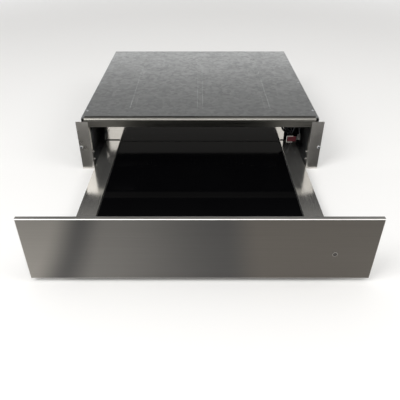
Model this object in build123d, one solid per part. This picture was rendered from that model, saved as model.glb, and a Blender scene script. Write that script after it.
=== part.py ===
"""Built in warming drawer, pulled out, with its housing. Millimetres, +Z up, front towards -Y.

The origin is the centre of the housing's underside, which stands on the floor of the niche.
Side pieces are modelled on the right (+X) and mirrored for the left.
"""
from build123d import *

import os
from math import cos, pi, radians, sin, tan

# ---------------------------------------------------------------- driving dimensions
SHEET = 1.0                  # housing and drawer sheet metal
FLANGE_SHEET = 1.2           # flanges, rail and brackets
FIT_GAP = 0.3                # between pieces that move past each other
BORE_GAP = 0.1               # shaft or screw in its hole, per side

DRAWER_OPEN = 374.0          # travel, and how far the drawer is pulled out
DRAWER_DEPTH = 479.0         # flange plane to the drawer's rear wall, drawer closed
DECK_WIDTH = 503.5           # outside of the two side strips
STRIP_WIDTH = 40.0
STRIP_HEM = 2.0              # folded outer edge of a side strip
FRONT_STRIP = 45.0           # deck between the front and the glass
GLASS_DROP = 4.5             # glass below the strips
GLASS_THICKNESS = 4.0
GLASS_LEDGE = 7.0            # support under the glass edge
GLASS_SEAM = 1.0             # sealing bead round the glass
REAR_SEAM = 3.0              # sealing bead along the rear wall
FOOT_BEAD = 1.5              # sealing bead between the rear wall and the side strips
HEATER_THICKNESS = 2.5
HEATER_MARGIN = 4.0          # heater inside the glass ledge
MEANDER_SIDE = 15.0          # raised meander inside the heater's sides
MEANDER_END = 20.0           # and inside its ends
MEANDER_WIDTH = 6.0
PAN_LIFT = 2.5               # pan above the housing floor
BACK_WALL_HEM = 4.0
BACK_WALL_GAP = 15.0         # rear wall's top below the rail
WALL_SLOT_DROP = 17.0        # middle of the rear wall's air slots below its top
CONNECTOR_BAY = 31.0         # open corner right of the rear wall

FRONT_WIDTH = 595.0
FRONT_HEIGHT = 130.0
FRONT_BOTTOM = 8.5           # lower edge above the housing floor
FRONT_REACH = 20.0           # front face before the flange plane, drawer closed
FRONT_RETURN = 8.0           # folded rim of the front
FRONT_ROUND = 1.5            # rounding of the front's edge
PUSH_GAP = 4.0               # free way behind the front for the push to open
LINER_INSET = 12.0
BUFFER_THICKNESS = 1.0
BUFFER_INSET = 11.0          # buffers inside the liner's lower and upper edges
FRONT_UPSTAND = 12.0         # deck's front edge, bent up behind the liner
GUSSET_SCREW_LOW = 14.0      # gusset screws over the deck and under the gusset's top
GUSSET_SCREW_HIGH = 10.0

MOUTH_GAP = 11.25            # deck edge to flange
FLANGE_INSIDE = 14.0         # flange inside the side wall
FLANGE_OUTSIDE = 13.6        # flange outside the side wall
FLANGE_LEG = 12.0
FLANGE_TOP_GAP = 8.8         # flange top below the rail top
LOAD_HEIGHT = 87.0           # clear height between deck and rail
RAIL_DROP = 21.8             # height of the rail's face
RAIL_ROUND = 7.0
RAIL_TOP_LEG = 14.0
RAIL_LIP = 8.0
RAIL_OVERLAP = 8.2           # rounded part of the rail over each flange
RAIL_TAB = (6.0, 9.7)        # rail's tab: behind its own face, and behind the flange
WALL_BEND = 10.0             # bent edges of the side walls
BEAD_WIDTH = 14.0            # stiffening beads pressed into the cover and the side walls
BEAD_DEPTH = 1.5
BEAD_FRONT = 55.0            # beads start behind the flange plane and stop before the baffle
BEAD_REAR = 35.0
COVER_BEADS = 3
COVER_BEAD_SPREAD = 165.0    # outer beads to the middle of the cover
WALL_BEAD_HEIGHT = 70.0
REAR_SPACE = 45.0            # fan and wiring space behind the baffle
BAFFLE_GAP = 6.0             # drawer's rear to the baffle, drawer closed

RUNNER_LIFT = 1.5            # runner above the housing floor
RUNNER_HEIGHT = 21.0
RUNNER_WIDTH = 12.7
RUNNER_SETBACK = 5.0         # runner behind the flange plane
RUNNER_END_GAP = 24.0
RUNNER_SHEET = 1.0
RUNNER_LIP = 7.0             # legs of the runner profiles
DECK_CLEARANCE = 1.5         # runner top to the side strip
BALL_DIAMETER = 1.8
BALL_PLAY = 0.3
BALLS_PER_ROW = 6
CAGE_LENGTH = 200.0
CAGE_SHEET = 0.6
BRACKET_FOOT = 11.0

FIXING_HEIGHT = 59.5         # fixing holes in the flanges
FIXING_EDGE = 4.6            # hole centre to the flange's outer edge
FIXING_RADIUS = 2.25
GUIDE_LOW = -1.0             # centring buttons, over the deck's top
GUIDE_HIGH = 19.0

KNOB_DIAMETER = 30.0
KNOB_HEIGHT = 14.0
KNOB_CLEARANCE = 14.5        # knob top below the rail
KNOB_FROM_SIDE = 35.0        # knob centre to the end of the control case
CASE_WIDTH = 140.0
CASE_DEPTH = 40.0
CASE_WALL = 2.0
CASE_SIDE_GAP = 6.0          # case end to the side strip's inner edge
THERMOSTAT_WIDTH = 38.0
THERMOSTAT_HEIGHT = 28.0
THERMOSTAT_DEPTH = 28.0
SHAFT_RADIUS = 3.0
BUTTON_RADIUS = 6.0
BUTTON_TRAVEL = 2.0
BUTTON_PROUD = 3.0
BUTTON_BODY = 11.0
BUTTON_FROM_SIDE = 28.0

LENS_FROM_SIDE = 69.8        # status lens to the front's right edge
LENS_HEIGHT = 65.0
BEZEL_RADIUS = 5.0
LENS_RADIUS = 3.2

FAN_DIAMETER = 70.0
FAN_WIDTH = 13.0
FAN_BLADES = 20
DUCT_DEPTH = 20.0
DUCT_HALF_WIDTH = 150.0
MOTOR_SIZE = 50.0
MOTOR_DEPTH = 18.0
FAN_SHAFT_RADIUS = 2.5

LATCH_WIDTH = 32.0
LATCH_HEIGHT = 20.0
LATCH_DEPTH = 38.0
LATCH_TRAVEL = 4.0
PLUNGER_RADIUS = 4.0
COLLAR_RADIUS = 5.5
SPRING_WIRE = 0.5
SPRING_TURNS = 7

TERMINAL_WIDTH = 60.0
TERMINAL_HEIGHT = 32.0
TERMINAL_FROM_CENTRE = 165.0
GLAND_BORE = 3.75
GLAND_BODY = 6.0
GLAND_COLLAR = 9.0
GLAND_LENGTH = 14.0

CABLE_RADIUS = 3.5
CONNECTOR_INSET = 25.0       # bracket's left side to the side strip's outer edge
CONNECTOR_WIDTH = 28.0
CONNECTOR_HEIGHT = 18.0
CONNECTOR_DEPTH = 13.0
CONNECTOR_TAB = 10.5         # bracket's tab beside the strip, which keeps the cable back
CABLE_NOTCH = 12.0           # baffle's notch above the cable
CLIP_LENGTH = 8.0

# ---------------------------------------------------------------- planes worked out from them
FLOOR_TOP = SHEET
PAN_BOTTOM = FLOOR_TOP + PAN_LIFT
RUNNER_BOTTOM = FLOOR_TOP + RUNNER_LIFT
RUNNER_TOP = RUNNER_BOTTOM + RUNNER_HEIGHT
DECK_UNDER = RUNNER_TOP + DECK_CLEARANCE
DECK_TOP = DECK_UNDER + SHEET
GLASS_TOP = DECK_TOP - GLASS_DROP
GLASS_UNDER = GLASS_TOP - GLASS_THICKNESS
HEATER_UNDER = GLASS_UNDER - HEATER_THICKNESS
RAIL_BOTTOM = DECK_TOP + LOAD_HEIGHT
HOUSING_TOP = RAIL_BOTTOM + RAIL_DROP
COVER_TOP = HOUSING_TOP - SHEET
COVER_UNDER = COVER_TOP - SHEET

DECK_HALF = DECK_WIDTH / 2
STRIP_INNER = DECK_HALF - STRIP_WIDTH
PAN_HALF = DECK_HALF - FLANGE_SHEET - FIT_GAP - RUNNER_WIDTH
RUNNER_OUTER = PAN_HALF + RUNNER_WIDTH
FLANGE_INNER = DECK_HALF + MOUTH_GAP
WALL_INNER = FLANGE_INNER + FLANGE_INSIDE
WALL_OUTER = WALL_INNER + SHEET
FLANGE_OUTER = WALL_OUTER + FLANGE_OUTSIDE

DRAWER_REAR = DRAWER_DEPTH + SHEET + BACK_WALL_HEM
BAFFLE_DEPTH = DRAWER_REAR + BAFFLE_GAP
HOUSING_DEPTH = BAFFLE_DEPTH + REAR_SPACE
HOUSING_FRONT = -HOUSING_DEPTH / 2
HOUSING_BACK = HOUSING_DEPTH / 2
BAFFLE = HOUSING_FRONT + BAFFLE_DEPTH
DRAWER = HOUSING_FRONT - DRAWER_OPEN      # the flange plane as the open drawer carries it
LINER_BACK = DRAWER - PUSH_GAP
BACK_WALL = DRAWER + DRAWER_DEPTH
RUNNER_LENGTH = DRAWER_DEPTH - RUNNER_SETBACK - RUNNER_END_GAP
LENS_X = FRONT_WIDTH / 2 - LENS_FROM_SIDE


# ---------------------------------------------------------------- helpers
def block(x_range, y_range, z_range):
    """Rectangular solid between pairs of planes."""
    ranges = (x_range, y_range, z_range)
    middle = [(low + high) / 2 for low, high in ranges]
    return Pos(*middle) * Box(*[high - low for low, high in ranges])


def rod_z(x, y, z_range, radius):
    low, high = z_range
    return Pos(x, y, (low + high) / 2) * Cylinder(radius, high - low)


def rod_y(x, y_range, z, radius):
    low, high = y_range
    return Pos(x, (low + high) / 2, z) * Rot(X=90) * Cylinder(radius, high - low)


def mirrored(shape):
    return mirror(shape, about=Plane.YZ)


def pressed_bead(length):
    """Bead for sheet whose face is z = 0, along x: the solid under the sheet and the hollow to cut."""
    hollow = extrude(SlotOverall(length, BEAD_WIDTH), BEAD_DEPTH, dir=(0, 0, -1), taper=45)
    return Pos(0, 0, -SHEET) * hollow, hollow


def save(name, *solids):
    """Write one node; several pieces stay separate solids."""
    shape = solids[0] if len(solids) == 1 else Compound(children=list(solids))
    export_step(shape, f"parts/{name}.step")


def save_pair(name, right_solids):
    save(f"{name}_right", *right_solids)
    save(f"{name}_left", *[mirrored(solid) for solid in right_solids])


def spaced(count, low, high):
    """Evenly spaced places from low to high."""
    return [low + (high - low) * index / (count - 1) for index in range(count)]


def screw_z(x, y, seat, shank, head_radius=3.0, shank_radius=1.5):
    """Pan head screw standing on the plane seat, its shank pointing down."""
    head = rod_z(x, y, (seat, seat + 1.8), head_radius)
    head = fillet(head.faces().sort_by(Axis.Z)[-1].edges(), 0.8)
    return head + rod_z(x, y, (seat - shank, seat), shank_radius)


def cable(points):
    """Round cable along straight runs joined by arcs as large as the runs allow."""
    corners = [Vector(*point) for point in points]
    radii = []
    for before, corner, after in zip(corners, corners[1:], corners[2:]):
        half_turn = radians((corner - before).get_angle(after - corner)) / 2
        shorter = min((corner - before).length, (after - corner).length)
        radii.append(0.45 * shorter / tan(half_turn))
    print("cable arcs:", [round(radius, 1) for radius in radii])
    path = FilletPolyline(*points, radius=radii)
    section = Plane(origin=path @ 0, z_dir=path % 0) * Circle(CABLE_RADIUS)
    return sweep(section, path=path)


# ---------------------------------------------------------------- housing
COVER_SCREWS = [
    (side * (WALL_INNER - WALL_BEND / 2), HOUSING_FRONT + DRAWER_DEPTH * share)
    for side in (-1, 1)
    for share in (0.1, 0.5, 0.9)
]
SCREW_HOLE = 1.5 + BORE_GAP
FLANGE_TOP = HOUSING_TOP - FLANGE_TOP_GAP
RIVET_X = FLANGE_INNER + FLANGE_SHEET + SCREW_HOLE + 1.6
RIVET_Z = (RAIL_BOTTOM + FLANGE_TOP) / 2
RIVET_HEAD = 2.6
LATCH_TOP = FLOOR_TOP + LATCH_HEIGHT
CABLE_Z = FLOOR_TOP + FLANGE_SHEET + CABLE_RADIUS + 3.3
CABLE_X = WALL_INNER - WALL_BEND - 1.0
DUCT_MIDDLE = (FLOOR_TOP + COVER_UNDER) / 2
TERMINAL_X = (TERMINAL_FROM_CENTRE, TERMINAL_FROM_CENTRE + TERMINAL_WIDTH)
BEAD_Y = (HOUSING_FRONT + BEAD_FRONT, BAFFLE - BEAD_REAR)
BEAD_MIDDLE = sum(BEAD_Y) / 2
GLAND_X = TERMINAL_FROM_CENTRE + TERMINAL_WIDTH / 2
GLAND_Z = FLOOR_TOP + TERMINAL_HEIGHT / 2


def base_plate():
    y_range = (HOUSING_FRONT + FLANGE_SHEET, HOUSING_BACK - SHEET)
    return block((-WALL_INNER, WALL_INNER), y_range, (0, FLOOR_TOP))


def side_wall():
    """Wall with a stiffening bead and its edges bent inwards; the front edge ends under the rail."""
    front, back = HOUSING_FRONT + FLANGE_SHEET, HOUSING_BACK - SHEET
    bend = (WALL_INNER - WALL_BEND, WALL_OUTER)
    wall = block((WALL_INNER, WALL_OUTER), (front, back), (0, COVER_UNDER))
    wall += block(bend, (HOUSING_FRONT + RAIL_ROUND, back), (COVER_UNDER - SHEET, COVER_UNDER))
    wall += block(bend, (front, back), (FLOOR_TOP, FLOOR_TOP + SHEET))
    seat = (FLANGE_INNER + FLANGE_SHEET, WALL_OUTER)
    wall += block(seat, (front, front + SHEET), (FLOOR_TOP, RAIL_BOTTOM - 1.0))
    face = Plane(origin=(WALL_OUTER, BEAD_MIDDLE, WALL_BEAD_HEIGHT), x_dir=(0, 1, 0), z_dir=(1, 0, 0))
    under, hollow = pressed_bead(BEAD_Y[1] - BEAD_Y[0])
    wall = wall + face.location * under - face.location * hollow
    for x, y in COVER_SCREWS:
        wall -= rod_z(x, y, (COVER_UNDER - 2 * SHEET, COVER_TOP), SCREW_HOLE)
    return wall


def top_cover():
    """Lid with stiffening beads."""
    y_range = (HOUSING_FRONT + RAIL_ROUND, HOUSING_BACK - SHEET)
    cover = block((-WALL_OUTER, WALL_OUTER), y_range, (COVER_UNDER, COVER_TOP))
    for x in spaced(COVER_BEADS, -COVER_BEAD_SPREAD, COVER_BEAD_SPREAD):
        seat = Pos(x, BEAD_MIDDLE, COVER_TOP) * Rot(Z=90)
        under, hollow = pressed_bead(BEAD_Y[1] - BEAD_Y[0])
        cover = cover + seat * under - seat * hollow
    for x, y in COVER_SCREWS:
        cover -= rod_z(x, y, (COVER_UNDER, COVER_TOP), SCREW_HOLE)
    return cover


def rear_wall():
    """Back plate with cooling slots, a bent top edge and the hole for the gland."""
    slot_width, slot_pitch, slot_count = 4.0, 10.0, 9
    face = (HOUSING_BACK - SHEET, HOUSING_BACK)
    wall = block((-WALL_OUTER, WALL_OUTER), face, (0, COVER_TOP))
    top_half = WALL_INNER - WALL_BEND - 1.0
    wall += block(
        (-top_half, top_half),
        (HOUSING_BACK - SHEET - WALL_BEND, HOUSING_BACK - SHEET),
        (COVER_UNDER - SHEET, COVER_UNDER),
    )
    slot_low, slot_high = DUCT_MIDDLE - FAN_DIAMETER / 4, DUCT_MIDDLE + FAN_DIAMETER / 4
    for side in (-1, 1):
        for index in range(slot_count):
            x = side * (DUCT_HALF_WIDTH / 2 + slot_pitch * index)
            wall -= block((x - slot_width / 2, x + slot_width / 2), face, (slot_low, slot_high))
    return wall - rod_y(GLAND_X, face, GLAND_Z, GLAND_BODY + BORE_GAP)


def flange():
    """Front flange with its inner edge bent back, one fixing hole and the rail's rivet hole."""
    face = (HOUSING_FRONT, HOUSING_FRONT + FLANGE_SHEET)
    piece = block((FLANGE_INNER, FLANGE_OUTER), face, (0, FLANGE_TOP))
    leg = (HOUSING_FRONT, HOUSING_FRONT + FLANGE_LEG)
    leg_height = (FLOOR_TOP + SHEET, RAIL_BOTTOM - 1.0)
    piece += block((FLANGE_INNER, FLANGE_INNER + FLANGE_SHEET), leg, leg_height)
    piece -= rod_y(FLANGE_OUTER - FIXING_EDGE, face, FIXING_HEIGHT, FIXING_RADIUS)
    return piece - rivet_cone(RIVET_HEAD + BORE_GAP, SCREW_HOLE)


def rivet_cone(head_radius, shank_radius):
    """Countersunk head of the right hand rivet, as deep as the flange."""
    middle = Pos(RIVET_X, HOUSING_FRONT + FLANGE_SHEET / 2, RIVET_Z)
    return middle * Rot(X=90) * Cone(shank_radius, head_radius, FLANGE_SHEET)


def top_rail():
    """Cross rail flush with the flanges, its rounded edge over their tops and a tab behind each."""
    half = FLANGE_INNER + RAIL_OVERLAP
    front, inside = HOUSING_FRONT, HOUSING_FRONT + FLANGE_SHEET
    back = HOUSING_FRONT + RAIL_TOP_LEG
    solid = block((-half, half), (front, back), (RAIL_BOTTOM, HOUSING_TOP))
    outer_edge = solid.edges().filter_by(Axis.X).group_by(Axis.Y)[0].sort_by(Axis.Z)[-1]
    solid = fillet(outer_edge, RAIL_ROUND)
    hollow = block((-half, half), (inside, back), (RAIL_BOTTOM, COVER_TOP))
    inner_edge = hollow.edges().filter_by(Axis.X).group_by(Axis.Y)[0].sort_by(Axis.Z)[-1]
    hollow = fillet(inner_edge, RAIL_ROUND - FLANGE_SHEET)
    lip_half = FLANGE_INNER - 1.0
    rail = solid - hollow
    rail += block((-lip_half, lip_half), (front, front + RAIL_LIP), (RAIL_BOTTOM, RAIL_BOTTOM + SHEET))
    for side in (-1, 1):
        low, high = sorted((side * FLANGE_INNER, side * half))
        rail -= block((low, high), (front, inside), (RAIL_BOTTOM, FLANGE_TOP))
        for reach, top in ((RAIL_TAB[1], FLANGE_TOP), (RAIL_OVERLAP, FLANGE_TOP + 1.0)):
            low, high = sorted((side * (FLANGE_INNER - RAIL_TAB[0]), side * (FLANGE_INNER + reach)))
            rail += block((low, high), (inside, inside + FLANGE_SHEET), (RAIL_BOTTOM, top))
        rail -= rod_y(side * RIVET_X, (inside, inside + FLANGE_SHEET), RIVET_Z, SCREW_HOLE)
    return rail


def rail_rivets():
    """Countersunk rivets, flush with the flanges, one at each end of the rail."""
    inside = HOUSING_FRONT + FLANGE_SHEET
    end = inside + FLANGE_SHEET
    rivet = rivet_cone(RIVET_HEAD, SCREW_HOLE - BORE_GAP)
    rivet += rod_y(RIVET_X, (inside, end), RIVET_Z, SCREW_HOLE - BORE_GAP)
    rivet += rod_y(RIVET_X, (end, end + 0.6), RIVET_Z, RIVET_HEAD - 0.3)
    return [rivet, mirrored(rivet)]


def housing_screws():
    return [screw_z(x, y, COVER_TOP, 6.0) for x, y in COVER_SCREWS]


def guide_buttons():
    """Two centring buttons on the inner side of each flange."""
    button_radius, button_length = 2.2, 4.0
    y = HOUSING_FRONT + FLANGE_LEG / 2
    buttons = []
    for side in (-1, 1):
        for z in (DECK_TOP + GUIDE_LOW, DECK_TOP + GUIDE_HIGH):
            x = side * (FLANGE_INNER - button_length / 2)
            button = Pos(x, y, z) * Rot(Y=90) * Cylinder(button_radius, button_length)
            inner_face = button.faces().sort_by(Axis.X)[0 if side > 0 else -1]
            buttons.append(fillet(inner_face.edges(), 1.0))
    return buttons


def runner_bracket():
    """Angle on the housing floor that carries the fixed runner member."""
    span = runner_span(HOUSING_FRONT)
    leg = block((RUNNER_OUTER, RUNNER_OUTER + FLANGE_SHEET), span, (FLOOR_TOP, RUNNER_TOP))
    foot = block((RUNNER_OUTER, RUNNER_OUTER + BRACKET_FOOT), span, (FLOOR_TOP, FLOOR_TOP + FLANGE_SHEET))
    return leg + foot


def rear_baffle():
    """Partition with the fan's inlet and outlet slots, a latch notch and a cable notch."""
    face = (BAFFLE, BAFFLE + SHEET)
    baffle = block((-WALL_INNER, WALL_INNER), face, (FLOOR_TOP, COVER_UNDER))
    for side in (-1, 1):
        foot = sorted((side * LATCH_WIDTH, side * (TERMINAL_FROM_CENTRE - 5.0)))
        baffle += block(foot, (BAFFLE, BAFFLE + WALL_BEND), (FLOOR_TOP, FLOOR_TOP + SHEET))
        edge = WALL_INNER - WALL_BEND
        for low, high in ((FLOOR_TOP, FLOOR_TOP + SHEET), (COVER_UNDER - SHEET, COVER_UNDER)):
            x_range = sorted((side * edge, side * WALL_INNER))
            baffle -= block(x_range, face, (low, high))
    notch = LATCH_WIDTH / 2 + FIT_GAP
    baffle -= block((-notch, notch), face, (FLOOR_TOP, LATCH_TOP + FIT_GAP))
    cable_half = CABLE_RADIUS + 2.5
    notch_top = CABLE_Z + CABLE_RADIUS + CABLE_NOTCH
    baffle -= block((CABLE_X - cable_half, WALL_INNER), face, (FLOOR_TOP, notch_top))
    for x in spaced(7, -0.36 * FAN_DIAMETER, 0.36 * FAN_DIAMETER):
        baffle -= air_slot(x, face, 0.34 * FAN_DIAMETER)
    for x in spaced(8, 0.45 * DUCT_HALF_WIDTH, 0.93 * DUCT_HALF_WIDTH):
        baffle -= air_slot(x, face, 0.3 * FAN_DIAMETER)
        baffle -= air_slot(-x, face, 0.3 * FAN_DIAMETER)
    return baffle


def air_slot(x, y_range, half_height, middle=DUCT_MIDDLE, width=4.0):
    """Upright slot with round ends, as a solid to cut."""
    slot = block((x - width / 2, x + width / 2), y_range, (middle - half_height, middle + half_height))
    for z in (middle - half_height, middle + half_height):
        slot += rod_y(x, y_range, z, width / 2)
    return slot


def air_duct():
    """Pressed pan behind the baffle, open at the front, round the fan."""
    corner_radius = 12.0
    low, high = DUCT_MIDDLE - FAN_DIAMETER / 2 - 4.0, DUCT_MIDDLE + FAN_DIAMETER / 2 + 4.0
    front = BAFFLE + SHEET
    back = front + DUCT_DEPTH
    pan = block((-DUCT_HALF_WIDTH, DUCT_HALF_WIDTH), (front, back), (low, high))
    pan = fillet(pan.edges().filter_by(Axis.Y), corner_radius)
    inside = DUCT_HALF_WIDTH - SHEET
    hollow = block((-inside, inside), (front, back - SHEET), (low + SHEET, high - SHEET))
    hollow = fillet(hollow.edges().filter_by(Axis.Y), corner_radius - SHEET)
    return pan - hollow - rod_y(0, (front, back), DUCT_MIDDLE, FAN_SHAFT_RADIUS + 2.0)


def fan_motor():
    """Motor on the duct: stack, coil and bearing, bored for the shaft."""
    front = BAFFLE + SHEET + DUCT_DEPTH
    half = MOTOR_SIZE / 2
    low = DUCT_MIDDLE - half
    stack = block((-half, half), (front, front + 0.6 * MOTOR_DEPTH), (low, DUCT_MIDDLE + half))
    stack = fillet(stack.edges().filter_by(Axis.Y), 6.0)
    stack += block((-half / 2, half / 2), (front, front + MOTOR_DEPTH), (low + 4.0, DUCT_MIDDLE - half / 3))
    stack += rod_y(0, (front, front + MOTOR_DEPTH), DUCT_MIDDLE, 9.0)
    return stack - rod_y(0, (front, front + 0.8 * MOTOR_DEPTH), DUCT_MIDDLE, FAN_SHAFT_RADIUS + BORE_GAP)


def fan_impeller():
    """Wheel with straight blades on a disc, a front ring, and the shaft it turns on."""
    back = BAFFLE + SHEET + DUCT_DEPTH - SHEET - 2.0
    front = back - FAN_WIDTH
    radius = FAN_DIAMETER / 2
    blade_length = 0.36 * radius
    wheel = rod_y(0, (back - SHEET, back), DUCT_MIDDLE, radius)
    wheel += rod_y(0, (front + 2.0, back), DUCT_MIDDLE, 8.0)
    ring = rod_y(0, (front, front + SHEET), DUCT_MIDDLE, radius)
    wheel += ring - rod_y(0, (front, front + SHEET), DUCT_MIDDLE, radius - 3.0)
    blade = Pos(radius - blade_length / 2 - 0.4, 0, 0) * Rot(Y=20) * Box(blade_length, FAN_WIDTH, 0.8)
    for index in range(FAN_BLADES):
        turned = Rot(Y=360 / FAN_BLADES * index) * blade
        wheel += Pos(0, (front + back) / 2, DUCT_MIDDLE) * turned
    tip = BAFFLE + SHEET + DUCT_DEPTH + 0.7 * MOTOR_DEPTH
    wheel -= rod_y(0, (front, back), DUCT_MIDDLE, FAN_SHAFT_RADIUS)
    return wheel, rod_y(0, (front + 2.0, tip), DUCT_MIDDLE, FAN_SHAFT_RADIUS)


def terminal_box():
    """Cover over the mains connection, open at the bottom."""
    y_range = (BAFFLE + 6.0, HOUSING_BACK - SHEET)
    top = FLOOR_TOP + TERMINAL_HEIGHT
    box = block(TERMINAL_X, y_range, (FLOOR_TOP, top))
    box -= block(
        (TERMINAL_X[0] + CASE_WALL, TERMINAL_X[1] - CASE_WALL),
        (y_range[0] + CASE_WALL, y_range[1] - CASE_WALL),
        (FLOOR_TOP, top - CASE_WALL),
    )
    box -= rod_y(GLAND_X, (y_range[1] - CASE_WALL, y_range[1]), GLAND_Z, GLAND_BODY + BORE_GAP)
    cable_end = Pos(TERMINAL_X[1] - CASE_WALL / 2, HARNESS_END_Y, CABLE_Z)
    return box - cable_end * Rot(Y=90) * Cylinder(CABLE_RADIUS + BORE_GAP, CASE_WALL)


def terminal_block():
    """Three pole block with its clamping screws' holes."""
    pole_pitch, depth, height = 12.0, 12.0, 14.0
    x_middle = (TERMINAL_X[0] + TERMINAL_X[1]) / 2
    y_low = BAFFLE + 6.0 + CASE_WALL + 2.0
    half = 1.5 * pole_pitch
    body = block((x_middle - half, x_middle + half), (y_low, y_low + depth), (FLOOR_TOP, FLOOR_TOP + height))
    for index in (-1, 0, 1):
        x = x_middle + index * pole_pitch
        body -= rod_z(x, y_low + depth / 2, (FLOOR_TOP + 6.0, FLOOR_TOP + height), 2.5)
    return body


def cable_gland():
    """Collared bushing in the rear wall, for the mains cable."""
    inner = HOUSING_BACK - SHEET - 5.0
    gland = rod_y(GLAND_X, (inner, inner + GLAND_LENGTH), GLAND_Z, GLAND_BODY)
    gland += rod_y(GLAND_X, (HOUSING_BACK, HOUSING_BACK + 3.0), GLAND_Z, GLAND_COLLAR)
    return gland - rod_y(GLAND_X, (inner, inner + GLAND_LENGTH), GLAND_Z, GLAND_BORE)


def latch_front():
    return HOUSING_FRONT + DRAWER_DEPTH + 2 * SHEET + FIT_GAP + LATCH_TRAVEL + 1.0


def latch_pieces():
    """Body with a closed chamber, the plunger with its collar, and the coil spring."""
    front = latch_front()
    back = front + LATCH_DEPTH
    half = LATCH_WIDTH / 2
    z = FLOOR_TOP + LATCH_HEIGHT / 2
    wall = 3.0
    chamber = (front + wall, back - wall)
    body = block((-half, half), (front, back), (FLOOR_TOP, LATCH_TOP))
    body = fillet(body.edges().filter_by(Axis.Y).group_by(Axis.Z)[-1], 4.0)
    body -= rod_y(0, chamber, z, COLLAR_RADIUS + FIT_GAP)
    body -= rod_y(0, (front, chamber[0]), z, PLUNGER_RADIUS + FIT_GAP)
    tip = HOUSING_FRONT + DRAWER_DEPTH + 2 * SHEET + FIT_GAP
    collar = (chamber[0] + FIT_GAP, chamber[0] + FIT_GAP + 3.0)
    plunger = rod_y(0, (tip, collar[1]), z, PLUNGER_RADIUS)
    plunger = fillet(plunger.faces().sort_by(Axis.Y)[0].edges(), 1.2)
    plunger += rod_y(0, collar, z, COLLAR_RADIUS)
    start, end = collar[1] + SPRING_WIRE + FIT_GAP, chamber[1] - SPRING_WIRE - FIT_GAP
    pitch = (end - start) / SPRING_TURNS
    coil_radius = COLLAR_RADIUS - SPRING_WIRE - 0.5
    path = Helix(pitch=pitch, height=end - start, radius=coil_radius)
    section = Plane(origin=path @ 0, z_dir=path % 0) * Circle(SPRING_WIRE)
    spring = Pos(0, start, z) * Rot(X=-90) * sweep(section, path=path, is_frenet=True)
    return body, plunger, spring


# ---------------------------------------------------------------- telescopic runners
def runner_span(flange_plane):
    start = flange_plane + RUNNER_SETBACK
    return start, start + RUNNER_LENGTH


def channel(web_side, web_x, half_height, y_range):
    """Runner profile: an upright web with two legs; web_side is +1 for a web on the outside."""
    z = RUNNER_BOTTOM + RUNNER_HEIGHT / 2
    web = sorted((web_x, web_x - web_side * RUNNER_SHEET))
    legs = sorted((web_x, web_x - web_side * RUNNER_LIP))
    profile = block(web, y_range, (z - half_height, z + half_height))
    for side in (-1, 1):
        z_range = sorted((z + side * half_height, z + side * (half_height - RUNNER_SHEET)))
        profile += block(legs, y_range, z_range)
    return profile


BALL_GAP = BALL_DIAMETER + 2 * BALL_PLAY
OUTER_HALF = RUNNER_HEIGHT / 2
MIDDLE_HALF = OUTER_HALF - RUNNER_SHEET - BALL_GAP
INNER_HALF = MIDDLE_HALF - RUNNER_SHEET - BALL_GAP
MIDDLE_WEB = RUNNER_OUTER - RUNNER_SHEET - 2 * FIT_GAP - CAGE_SHEET


def ball_cage(web_x, row_half, middle_y):
    """U shaped strip with two rows of balls; row_half is the height of a row over the middle."""
    z = RUNNER_BOTTOM + RUNNER_HEIGHT / 2
    y_range = (middle_y - CAGE_LENGTH / 2, middle_y + CAGE_LENGTH / 2)
    leg = (web_x - RUNNER_LIP + 1.0, web_x)
    strip = block((web_x - CAGE_SHEET, web_x), y_range, (z - row_half, z + row_half))
    ball_x = web_x - RUNNER_LIP / 2
    balls = []
    for side in (-1, 1):
        row_z = z + side * row_half
        strip += block(leg, y_range, (row_z - CAGE_SHEET / 2, row_z + CAGE_SHEET / 2))
        for y in spaced(BALLS_PER_ROW, y_range[0] + 6.0, y_range[1] - 6.0):
            strip -= rod_z(ball_x, y, (row_z - CAGE_SHEET, row_z + CAGE_SHEET), BALL_DIAMETER / 2 + BORE_GAP)
            balls.append(Pos(ball_x, y, row_z) * Sphere(BALL_DIAMETER / 2))
    return [strip, *balls]


def save_runners():
    fixed = runner_span(HOUSING_FRONT)
    moving = runner_span(DRAWER)
    middle = runner_span(HOUSING_FRONT - DRAWER_OPEN / 2)
    save_pair("outer_runner", [channel(1, RUNNER_OUTER, OUTER_HALF, fixed)])
    save_pair("mid_runner", [channel(1, MIDDLE_WEB, MIDDLE_HALF, middle)])
    save_pair("inner_runner", [channel(-1, PAN_HALF, INNER_HALF, moving)])
    outer_row = MIDDLE_HALF + BALL_GAP / 2
    inner_row = INNER_HALF + BALL_GAP / 2
    outer_cage_y = (fixed[0] + middle[1]) / 2
    inner_cage_y = (middle[0] + moving[1]) / 2
    save_pair("outer_cage", ball_cage(RUNNER_OUTER - RUNNER_SHEET - FIT_GAP, outer_row, outer_cage_y))
    save_pair("inner_cage", ball_cage(MIDDLE_WEB - RUNNER_SHEET - FIT_GAP, inner_row, inner_cage_y))


# ---------------------------------------------------------------- drawer front
LINER_HALF = FRONT_WIDTH / 2 - LINER_INSET
LINER_BOTTOM = FRONT_BOTTOM + LINER_INSET
LINER_TOP = FRONT_BOTTOM + FRONT_HEIGHT - LINER_INSET
FRONT_FACE = DRAWER - FRONT_REACH
SHELL_INSIDE = FRONT_FACE + SHEET
GUSSET_X = DECK_HALF - 4.0
GUSSET_SIZE = 55.0
GUSSET_FLANGE = 12.0


def rounded_slab(half_width, y_range, z_range, rounding):
    """Slab whose front edges are rounded."""
    slab = block((-half_width, half_width), y_range, z_range)
    return fillet(slab.faces().sort_by(Axis.Y)[0].edges(), rounding)


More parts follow.
